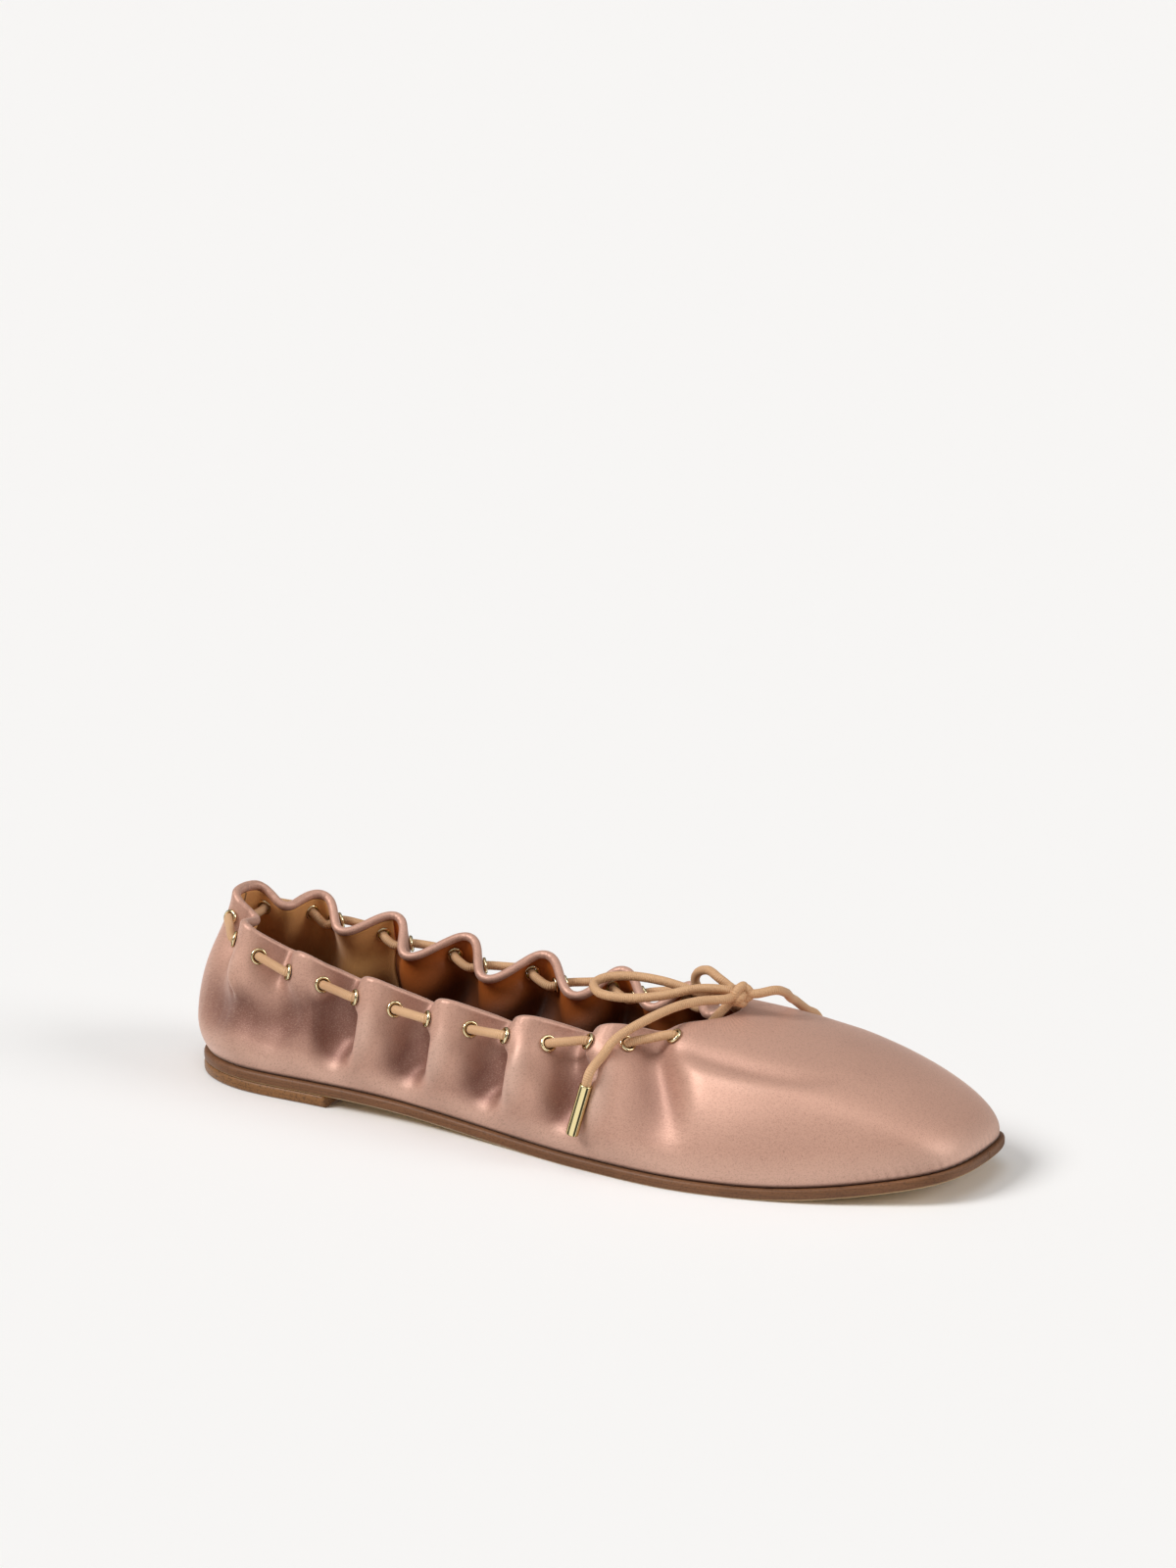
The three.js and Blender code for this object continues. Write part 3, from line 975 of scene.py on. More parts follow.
@dataclass(frozen=True)
class Leather(Finish):
    """Leather or suede inside the shoe, with its grain or nap, and painted shade that darkens it in the depth
    of the shoe.

    Attributes:
        cells: Grain cells to a metre.
        mottled: Band of the mottle that makes darker places.
        shade_depths: Shares of the wall's height where the painted shade begins and where it is full.
        painted_shade: Strength of the painted shade in the depth of the shoe.
        dark: Colour of the back seam and of the painted shade in the depth.
        seam: Strength of the seam up the back.
        seam_edges: Metres from the middle where the seam ends and where it is full.
    """

    cells: float = 1400.0
    mottled: Band = (0.35, 0.7, 0.6)
    shade_depths: tuple[float, float] = (0.88, 0.56)
    painted_shade: float = 0.86
    dark: Rgb = (48, 27, 19)
    seam: float = 0.0
    seam_edges: tuple[float, float] = (0.0006, 0.0002)

    def material(self, effects: Effects) -> bpy.types.Material:
        """Makes the material.

        Args:
            effects: The shared groups.

        Returns:
            The material.
        """
        material, tree, shader = self.begin()
        grain = add_node(tree, "ShaderNodeGroup", {"node_tree": effects.grain}, Cells=self.cells)
        across = split(tree, object_place(tree))["Y"]
        off = maths(tree, "ABSOLUTE", maths(tree, "ADD", across, float(BOX_CENTRE[1]) * MM))
        self.paint(
            tree,
            shader,
            (ranged(tree, grain.outputs["Mottle"], *self.mottled), self.deep),
            (ranged(tree, off, *self.seam_edges, self.seam), self.dark),
            # Painted shade: darker towards dark deeper in the shoe, read from share.
            (ranged(tree, attribute(tree, "share"), *self.shade_depths, self.painted_shade), self.dark),
        )
        self.bumped(tree, grain.outputs["Height"], shader)
        return material


@dataclass(frozen=True)
class Cord(Finish):
    """Leather lace with fine ribs round it, read from the length along it.

    Attributes:
        rib: Pitch of the ribs in millimetres.
        cells: Grain cells to a metre.
        mottled: Band of the mottle that makes darker places.
        grooved: Band of the ribs' height that makes darker grooves.
    """

    rib: float = 0.55
    cells: float = 1800.0
    mottled: Band = (0.35, 0.7, 0.45)
    grooved: Band = (0.1, -1.0, 0.25)

    def material(self, effects: Effects) -> bpy.types.Material:
        """Makes the material.

        Args:
            effects: The shared groups.

        Returns:
            The material.
        """
        material, tree, shader = self.begin()
        wave = ribs(tree, "run", self.rib)
        grain = add_node(tree, "ShaderNodeGroup", {"node_tree": effects.grain}, Cells=self.cells)
        dark = ranged(tree, grain.outputs["Mottle"], *self.mottled)
        groove = ranged(tree, wave, *self.grooved)
        self.paint(tree, shader, (dark, self.deep), (groove, self.deep))
        self.bumped(tree, maths(tree, "ADD", wave, grain.outputs["Height"]), shader)
        return material


@dataclass(frozen=True)
class SoleEdge(Finish):
    """Leather board of the sole and the lift: brown edge with flecks, and a paler tread read from tread.

    Attributes:
        tread_colour: Colour where the attribute tread is 1.
        tread_deep: Colour of its darker places there.
        layer: Height of one layer in millimetres.
        flecks: Strength of the flecks.
        lines: Strength of the lines between the layers.
        cells: Grain cells to a metre.
        mottled: Band of the mottle that darkens the edge.
        worn: Band of the mottle that darkens the tread.
    """

    tread_colour: Rgb = (216, 186, 140)
    tread_deep: Rgb = (190, 152, 104)
    layer: float = 1.7
    flecks: float = 0.7
    lines: float = 0.5
    cells: float = 900.0
    mottled: Band = (0.4, 0.75, 0.35)
    worn: Band = (0.35, 0.7, 0.6)

    def material(self, effects: Effects) -> bpy.types.Material:
        """Makes the material.

        Args:
            effects: The shared groups.

        Returns:
            The material.
        """
        material, tree, shader = self.begin()
        board = add_node(tree, "ShaderNodeGroup", {"node_tree": effects.flecks}, Layer=self.layer * MM)
        grain = add_node(tree, "ShaderNodeGroup", {"node_tree": effects.grain}, Cells=self.cells)
        tread = attribute(tree, "tread")
        worn = maths(tree, "MULTIPLY", tread, ranged(tree, grain.outputs["Mottle"], *self.worn))
        self.paint(
            tree,
            shader,
            (maths(tree, "MULTIPLY", board.outputs["Flecks"], self.flecks), self.deep),
            (maths(tree, "MULTIPLY", board.outputs["Lines"], self.lines), self.deep),
            (ranged(tree, grain.outputs["Mottle"], *self.mottled), self.deep),
            (tread, self.tread_colour),
            (worn, self.tread_deep),
        )
        self.bumped(tree, grain.outputs["Height"], shader)
        return material


@dataclass(frozen=True)
class Metal(Finish):
    """Plated metal, a little uneven in its polish and its plating, deeper in colour where it turns away.

    Attributes:
        edge: Tint of what it mirrors at a flat angle.
        cells: Grain cells to a metre.
        uneven: Shares of its roughness at the mottle's two ends.
        worn: Band of the mottle that deepens its colour.
    """

    edge: Rgb = (120, 92, 40)
    cells: float = 500.0
    uneven: tuple[float, float] = (0.7, 1.4)
    worn: Band = (0.45, 0.75, 0.25)

    def material(self, effects: Effects) -> bpy.types.Material:
        """Makes the material.

        Args:
            effects: The shared groups.

        Returns:
            The material.
        """
        material, tree, shader = self.begin()
        grain = add_node(tree, "ShaderNodeGroup", {"node_tree": effects.grain}, Cells=self.cells)
        mottle = grain.outputs["Mottle"]
        least, most = (self.roughness * share for share in self.uneven)
        rough = add_node(tree, "ShaderNodeMapRange", Value=mottle, To_Min=least, To_Max=most)
        tree.links.new(rough.outputs[0], shader.inputs["Roughness"])
        self.paint(tree, shader, (ranged(tree, mottle, *self.worn), self.deep))
        shader.inputs["Specular Tint"].default_value = linear(*self.edge)
        return material


class Finishes:
    """All the shoe's finishes, as Blender materials."""

    def __init__(self, effects: Effects) -> None:
        """Makes them.

        Args:
            effects: The shared groups.
        """
        self.satin = Satin(
            "satin", (211, 164, 143), (112, 63, 49),
            roughness=0.48, specular=0.6, sheen=0.36, metallic=0.32, bump=0.035,
        ).material(effects)
        # On the strip, the ridge colour is the painted highlight along its foot.
        self.strip = Satin(
            "strip_satin", (150, 104, 92), (112, 72, 62),
            roughness=0.56, specular=0.6, sheen=0.2, bump=0.03, light=(176, 134, 122), ridge=(176, 134, 122),
        ).material(effects)
        # Painted shade darkens the lining, sock and suede deeper in the shoe; the sock has no share, so its
        # painted shade covers it evenly.
        self.lining = Leather("lining", (202, 110, 46), (152, 76, 30), roughness=0.42).material(effects)
        self.sock = Leather("sock", (128, 72, 38), (92, 48, 24), specular=0.4, painted_shade=0.15).material(effects)
        self.suede = Leather(
            "suede", (240, 176, 108), (198, 128, 74),
            roughness=0.9, specular=0.2, sheen=0.3, bump=0.12, cells=2600.0,
            shade_depths=(0.78, 0.34), painted_shade=0.75, seam=0.7,
        ).material(effects)
        self.lace = Cord("lace", (222, 177, 133), (178, 129, 88), specular=0.45, sheen=0.1).material(effects)
        self.sole = SoleEdge(
            "sole", (124, 83, 53), (74, 47, 30), specular=0.35, flecks=0.45
        ).material(effects)
        self.stack = SoleEdge(
            "stack", (144, 99, 58), (72, 48, 28),
            roughness=0.46, specular=0.35, tread_colour=(124, 94, 62), tread_deep=(100, 73, 46),
        ).material(effects)
        deep_gold = (206, 180, 118)
        self.gold = Metal("gold", (240, 222, 168), deep_gold, roughness=0.1, metallic=1.0).material(effects)
        self.ring_gold = Metal(
            "ring_gold", (244, 228, 186), deep_gold, roughness=0.18, metallic=1.0
        ).material(effects)


def joined(*surfaces: Surface) -> Surface:
    """Puts several surfaces into one.

    Args:
        surfaces: The surfaces, each with the same named numbers.

    Returns:
        The one surface.
    """
    starts = np.cumsum([0] + [len(surface.points) for surface in surfaces])
    faces = [array + start for surface, start in zip(surfaces, starts) for array in surface.faces]
    values = {key: np.concatenate([s.values[key] for s in surfaces]) for key in surfaces[0].values}
    return Surface(np.vstack([s.points for s in surfaces]), faces, values)


@dataclass(frozen=True)
class EyeletPlace:
    """Where an eyelet is.

    Attributes:
        name: Its name in node names.
        foot: Its middle on the wall.
        axis: Direction out of the wall.
    """

    name: str
    foot: np.ndarray
    axis: np.ndarray

    def off(self, out: float) -> np.ndarray:
        """The point on its axis at a distance out from the wall."""
        return self.foot + out * self.axis


# Radius and height of the washer's flared lip, counted from the barrel's end.
WASHER_LIP = np.array([[1.65, -0.4], [1.95, -0.55], [2.3, -0.4], [2.4, -0.1], [2.15, 0.05]])


@dataclass
class Eyelets:
    """Rolled metal rings in pairs on the flanks of the folds, each with a barrel and a washer inside.

    Attributes:
        last: The form.
        spread: Distance of each eyelet from its fold's middle along the collar.
        below_rim: Its distance below the collar.
        ring_middle: Radius of the ring's middle line.
        ring_half_width: Half the ring's width.
        ring_foot: Height of the ring's foot above the wall.
        ring_height: Height of the ring above its foot.
        ring_back: Radius and height where the ring's back ends.
        barrel: Inner and outer radius of the barrel.
        barrel_ends: Heights where its inner and its outer face meet the ring.
        washer_depth: Depth of the barrel's end below the wall.
        hole: Radius of the hole in the wall.
        hole_reach: Length of the pin that cuts it.
        sides: Steps of the turn.
    """

    last: Last
    spread: float = 6.8
    below_rim: float = 5.2
    ring_middle: float = 2.03
    ring_half_width: float = 0.43
    ring_foot: float = 0.4
    ring_height: float = 0.62
    ring_back: tuple[float, float] = (2.3, 0.15)
    barrel: tuple[float, float] = (1.58, 1.71)
    barrel_ends: tuple[float, float] = (-0.5, 0.1)
    washer_depth: float = 2.35
    hole: float = 1.76
    hole_reach: float = 7.0
    sides: int = 36

    def place(self, side: Side, index: int, end: str) -> EyeletPlace:
        """Finds one eyelet.

        Args:
            side: Side of the shoe.
            index: Number of its fold from 0 at the heel.
            end: "a" for the flank nearer the heel, "b" for the other.

        Returns:
            Its place.
        """
        along = FOLDS[index].at + (-self.spread if end == "a" else self.spread)
        t = self.last.t_at(np.array(side.value * along))
        v = self.last.share_below_rim(t, self.below_rim)
        name = f"{side.label}_{index + 1}{end}"
        return EyeletPlace(name, self.last.surface(t, v), self.last.normal(t, v))

    def places(self) -> list[EyeletPlace]:
        """All the eyelets, near side first."""
        return [
            self.place(side, index, end) for side in Side for index in range(len(FOLDS)) for end in "ab"
        ]

    def cut_through(self, *pieces: bpy.types.Object) -> None:
        """Cuts a round hole through pieces at each eyelet.

        Args:
            pieces: The pieces, each a closed mesh.
        """
        half, radius = self.hole_reach / 2, self.hole
        profile = np.array([[0, -half], [radius, -half], [radius, half], [0, half]])
        pins = [lathe(profile, place.foot, place.axis, self.sides, False) for place in self.places()]
        mesh = mesh_of("holes", joined(*pins))
        tool = add_object("holes", mesh)
        for piece in pieces:
            modifier = piece.modifiers.new("holes", "BOOLEAN")
            modifier.operation = "DIFFERENCE"
            modifier.solver = "MANIFOLD"
            modifier.object = tool
            whole = piece.data
            graph = bpy.context.evaluated_depsgraph_get()
            piece.data = bpy.data.meshes.new_from_object(piece.evaluated_get(graph))
            piece.modifiers.clear()
            bpy.data.meshes.remove(whole)
        bpy.data.objects.remove(tool)
        bpy.data.meshes.remove(mesh)

    def profile(self) -> np.ndarray:
        """The ring's section: a half round over the wall, a straight barrel and a flared washer inside."""
        dome = np.column_stack([
            self.ring_middle + self.ring_half_width * np.cos(HALF_ROUND),
            self.ring_foot + self.ring_height * np.sin(HALF_ROUND),
        ])
        end = np.array([0, self.washer_depth])
        (inner, outer), (inner_top, outer_top) = self.barrel, self.barrel_ends
        inside = np.array([[inner, inner_top], [inner, -self.washer_depth]])
        outside = np.array([[outer, -self.washer_depth], [outer, outer_top], self.ring_back])
        return np.vstack([dome, inside, WASHER_LIP - end, outside])

    def build(self, gold: bpy.types.Material) -> None:
        """Makes all the eyelets.

        Args:
            gold: Their finish.
        """
        for place in self.places():
            ring = lathe(self.profile(), place.foot, place.axis, self.sides, True)
            make_piece(f"ring_{place.name}", ring, gold, Slot.GOLD, f"eyelet_{place.name}")


@dataclass(frozen=True)
class EndRoute:
    """How a lace end leaves the knot and lies on the wall.

    Attributes:
        free: Points from the knot's middle.
        way: Rows of collar length, share of the wall's height and distance out from the wall.
        aglet: Collar length and share of the height at the aglet's top.
        lean: How far the aglet's tip lies nearer the heel.
    """

    free: tuple
    way: tuple
    aglet: tuple[float, float]
    lean: float


LOOPS = {
    Side.NEAR: (
        (-4.5, -2.0, 1.2), (-10, -6.0, 1.6), (-19, -11.6, -0.4), (-28.5, -15.0, -1.4),
        (-36, -15.6, -0.8), (-38.8, -13, 0.6), (-37, -10, 1.8), (-31, -7, 2.4),
        (-22, -4.8, 1.8), (-11, -3.0, -0.4), (-4.8, -1.5, -1.4),
    ),
    Side.FAR: (
        (-4.5, 2.0, 1.2), (-7.4, 1.8, 3.0), (-11.3, 2.8, 4.4), (-15, 3.8, 3.0), (-16.4, 4.6, 0.2),
        (-15.2, 5.2, -2.6), (-11.8, 5.0, -3.6), (-8, 4.6, -2.4), (-4.7, 3.8, -1.0),
    ),
}
ENDS = {
    Side.NEAR: EndRoute(
        ((-1.5, -4.5, -0.4), (-7, -11, -0.2), (-12, -18.5, -1.2)),
        ((155.5, 0.86, 3.2), (152.5, 0.75, 1.7)),
        (147.5, 0.56),
        10.0,
    ),
    Side.FAR: EndRoute(
        ((4.6, 1.6, 0.4), (8.2, 5.5, 0.9), (8.6, 11, -1.2), (7.0, 17, -4.4)),
        ((180, 0.79, 2.1), (177, 0.69, 2.2)),
        (174, 0.55),
        4.0,
    ),
}


# The knot's own axes: forwards, across and up, the last two tipped by about 44 degrees.
KNOT_AXES = np.array([[1, 0, 0], [0, 0.72, 0.69], [0, -0.69, 0.72]])


@dataclass
class Lace:
    """One round lace: run through the eyelets all round the collar and tied in a bow at the throat.

    Attributes:
        last: The form.
        eyelets: The eyelets.
        radius: Radius of the lace.
        sides: Corners of its section.
        spacing: Length of its steps.
        ring_top: Height of a bar over the rings.
        through: How far the lace goes straight on either side of an eyelet.
        inside: Depth of its runs inside the wall.
        rim: Thickness of the collar's edge.
        over_rim: Where it goes over the edge, from the knot's middle, the second to either side.
        into_knot: Where it ends in the knot, in the same way.
        knot_half_height: Half the knot's height.
        knot_steps: Steps round each ring of the knot.
        lobes: Sizes of the knot's lobed ring along the knot's axes.
        band: Half widths of the band over it along the second and the third axis.
        band_shift: How far the band lies forwards, and how far it sways.
        rooted: Share of the way from the knot's middle at which its cords begin.
        straight: Straight run of an end into its aglet, in radii.
        aglet_radius: Radius of an aglet.
        aglet_bore: Radius of its bore.
        aglet_length: Its length.
        aglet_sides: Steps of its turn.
        aglet_stand_off: Distance of its middle from the wall.
        into_aglet: How far the lace goes into it.
        wall_run: Length of the wall from foot to collar where the aglets lie.
    """

    last: Last
    eyelets: Eyelets
    radius: float = 1.3
    sides: int = 16
    spacing: float = 0.55
    ring_top: float = 1.25
    through: float = 0.9
    inside: float = 4.1
    rim: float = 2.6
    over_rim: tuple[float, float, float] = (-3.6, 3.4, -4.4)
    into_knot: tuple[float, float, float] = (-1.4, 1.0, -1.2)
    knot_half_height: float = 3.2
    knot_steps: int = 160
    lobes: tuple[float, float, float] = (0.98, 0.8, 1.0)
    band: tuple[float, float] = (2.3, 2.6)
    band_shift: tuple[float, float] = (0.5, 0.4)
    rooted: float = 0.35
    straight: float = 3.0
    aglet_radius: float = 1.75
    aglet_bore: float = 1.38
    aglet_length: float = 15.0
    aglet_sides: int = 40
    aglet_stand_off: float = 3.3
    into_aglet: float = 0.6
    wall_run: float = 45.0

    def knot_middle(self) -> np.ndarray:
        """The knot's middle, over the throat."""
        throat = self.last.surface(np.array(self.last.toe), 1.0)
        return throat + UP * (self.rim / 2 + 2 * SEAM_GAP + self.knot_half_height)

    def run_points(self) -> np.ndarray:
        """The lace from the knot down inside, through every eyelet round the heel and back to the knot."""
        passed: dict[Side, list[np.ndarray]] = {side: [] for side in Side}
        into_eyelet = (-self.inside, -self.through, self.through)
        for side in Side:
            for index in range(len(FOLDS)):
                a, b = (self.eyelets.place(side, index, end) for end in "ab")
                middle = 0.5 * (a.off(self.ring_top) + b.off(self.ring_top))
                passed[side] += [a.off(out) for out in into_eyelet]
                passed[side] += [middle, *(b.off(out) for out in into_eyelet[::-1])]
        sides = np.array([[1, -1, 1], [1, 1, 1]])
        over = self.knot_middle() + sides * self.over_rim
        into = self.knot_middle() + sides * self.into_knot
        return np.array([into[0], over[0], *passed[Side.NEAR][::-1], *passed[Side.FAR], over[1], into[1]])

    def root_of(self, start: tuple[float, float, float]) -> np.ndarray:
        """Where a cord that leaves the knot at a point begins inside the knot."""
        return self.rooted * np.array(start)

    def loop_path(self, side: Side) -> np.ndarray:
        """Middle line of a loop, from inside the knot and back into it.

        Args:
            side: Side that it lies on.

        Returns:
            Its points.
        """
        points = LOOPS[side]
        whole = np.array([self.root_of(points[0]), *points, self.root_of(points[-1])])
        return smooth_path(self.knot_middle() + whole, self.spacing)

    def wound(self, path: np.ndarray, reference: np.ndarray) -> Surface:
        """A closed ring of lace.

        Args:
            path: Points of its middle line, the last beside the first.
            reference: Direction that its section turns to.

        Returns:
            The surface.
        """
        tangent = unit(np.roll(path, -1, axis=0) - np.roll(path, 1, axis=0))
        across = unit(np.cross(tangent, reference))
        up = np.cross(across, tangent)
        angle = np.linspace(0, 2 * np.pi, self.sides, endpoint=False)[None, :, None]
        rings = path[:, None] + self.radius * (np.cos(angle) * up[:, None] + np.sin(angle) * across[:, None])
        surface = grid_surface(rings, True)
        run = np.cumsum(np.linalg.norm(np.diff(path, axis=0, prepend=path[:1]), axis=1))
        surface.values["run"] = np.repeat(run, self.sides) * MM
        return surface

    def knot(self) -> Surface:
        """The knot: a three-lobed knotted ring with a band wound over it."""
        middle = self.knot_middle()
        first, second, third = KNOT_AXES
        along, across, up = self.lobes
        a = np.linspace(0, 2 * np.pi, self.knot_steps, endpoint=False)[:, None]
        lobes = (np.sin(a) + 2 * np.sin(2 * a)) * first * along
        lobes = lobes + (np.cos(a) - 2 * np.cos(2 * a)) * second * across
        lobes = lobes - np.sin(3 * a) * third * up
        band = self.band[0] * np.cos(a) * second + self.band[1] * np.sin(a) * third
        band = band + (self.band_shift[0] + self.band_shift[1] * np.sin(2 * a)) * first
        return joined(self.wound(middle + lobes, third), self.wound(middle + band, first))

    def end_path(self, side: Side) -> tuple[np.ndarray, np.ndarray, np.ndarray]:
        """One lace end.

        Args:
            side: Side it falls on.

        Returns:
            The end's points, the aglet's top and the aglet's direction.
        """
        route = ENDS[side]
        along, share = route.aglet
        top = self.last.on_wall(side, along, share, self.aglet_stand_off)
        low = share - self.aglet_length / self.wall_run
        axis = unit(self.last.on_wall(side, along - route.lean, low, self.aglet_stand_off) - top)
        free = self.knot_middle() + np.array([self.root_of(route.free[0]), *route.free])
        way = [self.last.on_wall(side, *place) for place in route.way]
        run_in = [top - self.straight * self.radius * axis, top + self.into_aglet * axis]
        return np.array([*free, *way, *run_in]), top, axis

    def aglet_profile(self) -> np.ndarray:
        """The aglet's section, from its open end to its tip: a plain tube with soft lips."""
        r, bore, length = self.aglet_radius, self.aglet_bore, self.aglet_length
        return np.array([
            [0, 1.2], [bore, 1.2], [bore, 0.15], [1.46, 0.0], [r - 0.12, 0.0], [r, 0.15], [r, 0.45], [r, 1.0],
            [r, length - 1.0], [r, length - 0.4], [r - 0.04, length - 0.18], [r - 0.2, length], [1.2, length],
            [1.1, length - 0.1], [1.0, length - 0.4], [0, length - 0.4],
        ])

    def declare(
        self,
        piece: bpy.types.Object,
        path: np.ndarray,
    ) -> None:
        """Logs a piece's name and its path's length.

        Args:
            piece: The piece.
            path: Points of its middle line.
        """
        LOG.info("%s: %.1f mm", piece.name, path_length(path))

    def build(self, finishes: Finishes) -> None:
        """Makes the lace, its bow and its aglets.

        Args:
            finishes: The shoe's finishes.
        """
        leather = finishes.lace
        bars = [f"lace_bar_{side.label}_{index + 1}" for side in Side for index in range(len(FOLDS))]
        run = smooth_path(self.run_points(), self.spacing)
        make_piece("lace_run", tube(run, self.radius, self.sides, UP), leather, Slot.LACE, *bars)
        knot = make_piece("bow_knot", self.knot(), leather, Slot.LACE, "lace_knot")
        for side in Side:
            label = side.label
            loop = self.loop_path(side)
            surface = tube(loop, self.radius, self.sides, UP)
            piece = make_piece(f"bow_loop_{label}", surface, leather, Slot.LACE, f"lace_loop_{label}")
            self.declare(piece, loop)

            points, top, axis = self.end_path(side)
            end = smooth_path(points, self.spacing)
            surface = tube(end, self.radius, self.sides, FORWARDS)
            piece = make_piece(f"bow_end_{label}", surface, leather, Slot.LACE, f"lace_end_{label}")
            barrel = lathe(self.aglet_profile(), top, axis, self.aglet_sides, False)
            aglet = make_piece(f"tip_{label}", barrel, finishes.gold, Slot.GOLD, f"aglet_{label}")
            self.declare(piece, end)


# Points of a crease's line, how many widths away it is still felt, and how late it fades towards its ends.
CREASE_POINTS = 28
CREASE_REACH = 3.0
CREASE_FADE = 2.2


@dataclass(frozen=True)
class Crease:
    """A soft trough or ridge laid on the wall.

    Attributes:
        side: Side of the shoe.
        places: Collar lengths and shares of the height that its line passes through.
        width: Half width where it has 1/e of its depth.
        depth: How deep it is, below 0 for a ridge.
    """

    side: Side
    places: tuple[tuple[float, float], ...]
    width: float
    depth: float

    def line(self, last: Last) -> np.ndarray:
        """Points of its line on the wall.

        Args:
            last: The form.

        Returns:
            The points, evenly apart in the crease's own measure.
        """
        stops = np.linspace(0, len(self.places) - 1, CREASE_POINTS)
        along, share = (np.interp(stops, np.arange(len(self.places)), column) for column in zip(*self.places))
        return last.surface(last.t_at(self.side.value * along), share)

    def press(self, last: Last, points: np.ndarray) -> np.ndarray:
        """How far the crease presses points of the wall in: a bell across its line, fading at both ends.

        Args:
            last: The form.
            points: Points of the wall.

        Returns:
            Depths.
        """
        line = self.line(last)
        reach = CREASE_REACH * self.width
        inside = np.all((points > line.min(axis=0) - reach) & (points < line.max(axis=0) + reach), axis=-1)
        start, step = line[:-1], np.diff(line, axis=0)
        off = points[inside][:, None, :] - start
        share = np.clip(np.einsum("nsk,sk->ns", off, step) / np.einsum("sk,sk->s", step, step), 0, 1)
        away = np.linalg.norm(off - share[..., None] * step, axis=-1)
        along = np.linspace(-1, 1, len(line))
        fade = 1.0 - np.abs(along[:-1] + share * (along[1] - along[0])) ** CREASE_FADE
        pressed = np.zeros(points.shape[:-1])
        pressed[inside] = self.depth * np.max(fade * np.exp(-((away / self.width) ** 2)), axis=-1)
        return pressed


# Below each fold from the second on: collar length and share of the height at the head and at the foot of
# its trough, the trough's width and depth, and the height of the ridge along its toeward side.
PLEATS = (
    ((45.0, 0.80), (40.0, 0.46), 4.4, 0.6, 0.5),
    ((70.0, 0.80), (55.0, 0.18), 5.8, 4.0, 1.9),
    ((95.5, 0.80), (76.0, 0.13), 6.4, 4.6, 2.2),
    ((121.0, 0.80), (99.0, 0.12), 6.4, 4.6, 2.2),
    ((146.0, 0.80), (125.0, 0.12), 6.2, 4.2, 2.1),
    ((168.0, 0.80), (154.0, 0.24), 7.5, 1.4, 0.3),
)
# How far a ridge lies from its trough along the collar, its width, and the head's share in the bend of both.
RIDGE_AWAY = 8.4
RIDGE_WIDTH = 4.0
BEND_TO_HEAD = 0.6


def pleated(side: Side) -> tuple[Crease, ...]:
    """The troughs below the folds of one side, each with its ridge.

    Args:
        side: Side of the shoe.

    Returns:
        The creases.
    """
    creases = []
    for (head, high), (foot, low), width, depth, ridge in PLEATS:
        bend = (BEND_TO_HEAD * head + (1 - BEND_TO_HEAD) * foot, 0.5 * (high + low))
        places = ((head, high), bend, (foot, low))
        creases.append(Crease(side, places, width, depth))
        beside = tuple((along + RIDGE_AWAY, share) for along, share in places)
        creases.append(Crease(side, beside, RIDGE_WIDTH, -ridge))
    return tuple(creases)


CREASES = (
    *pleated(Side.NEAR),
    *pleated(Side.FAR),
    Crease(Side.NEAR, ((67, 0.66), (56, 0.56), (40, 0.46), (20, 0.38), (5, 0.34)), 9.0, 5.0),
    Crease(Side.NEAR, ((52, 0.80), (44, 0.70), (30, 0.63), (14, 0.60)), 6.0, -1.3),
    Crease(Side.NEAR, ((39.5, 0.66), (38.5, 0.5), (37.5, 0.30)), 5.5, -2.4),
    Crease(Side.NEAR, ((23, 0.86), (22, 0.64), (24, 0.50)), 1.6, 1.6),
    Crease(Side.NEAR, ((27, 0.84), (26, 0.62), (26, 0.50)), 2.0, -0.9),
    Crease(Side.NEAR, ((171, 0.86), (178, 0.76), (185, 0.68), (190, 0.60)), 3.4, 1.6),
    Crease(Side.NEAR, ((172, 0.80), (180, 0.68), (187, 0.58)), 4.0, -0.8),
    Crease(Side.FAR, ((68, 0.76), (56, 0.60), (40, 0.47), (22, 0.38)), 6.0, 2.8),
    Crease(Side.FAR, ((26, 0.84), (25, 0.64), (26, 0.52)), 1.8, 1.0),
    Crease(Side.FAR, ((171, 0.86), (178, 0.76), (185, 0.68)), 3.6, 1.3),
)


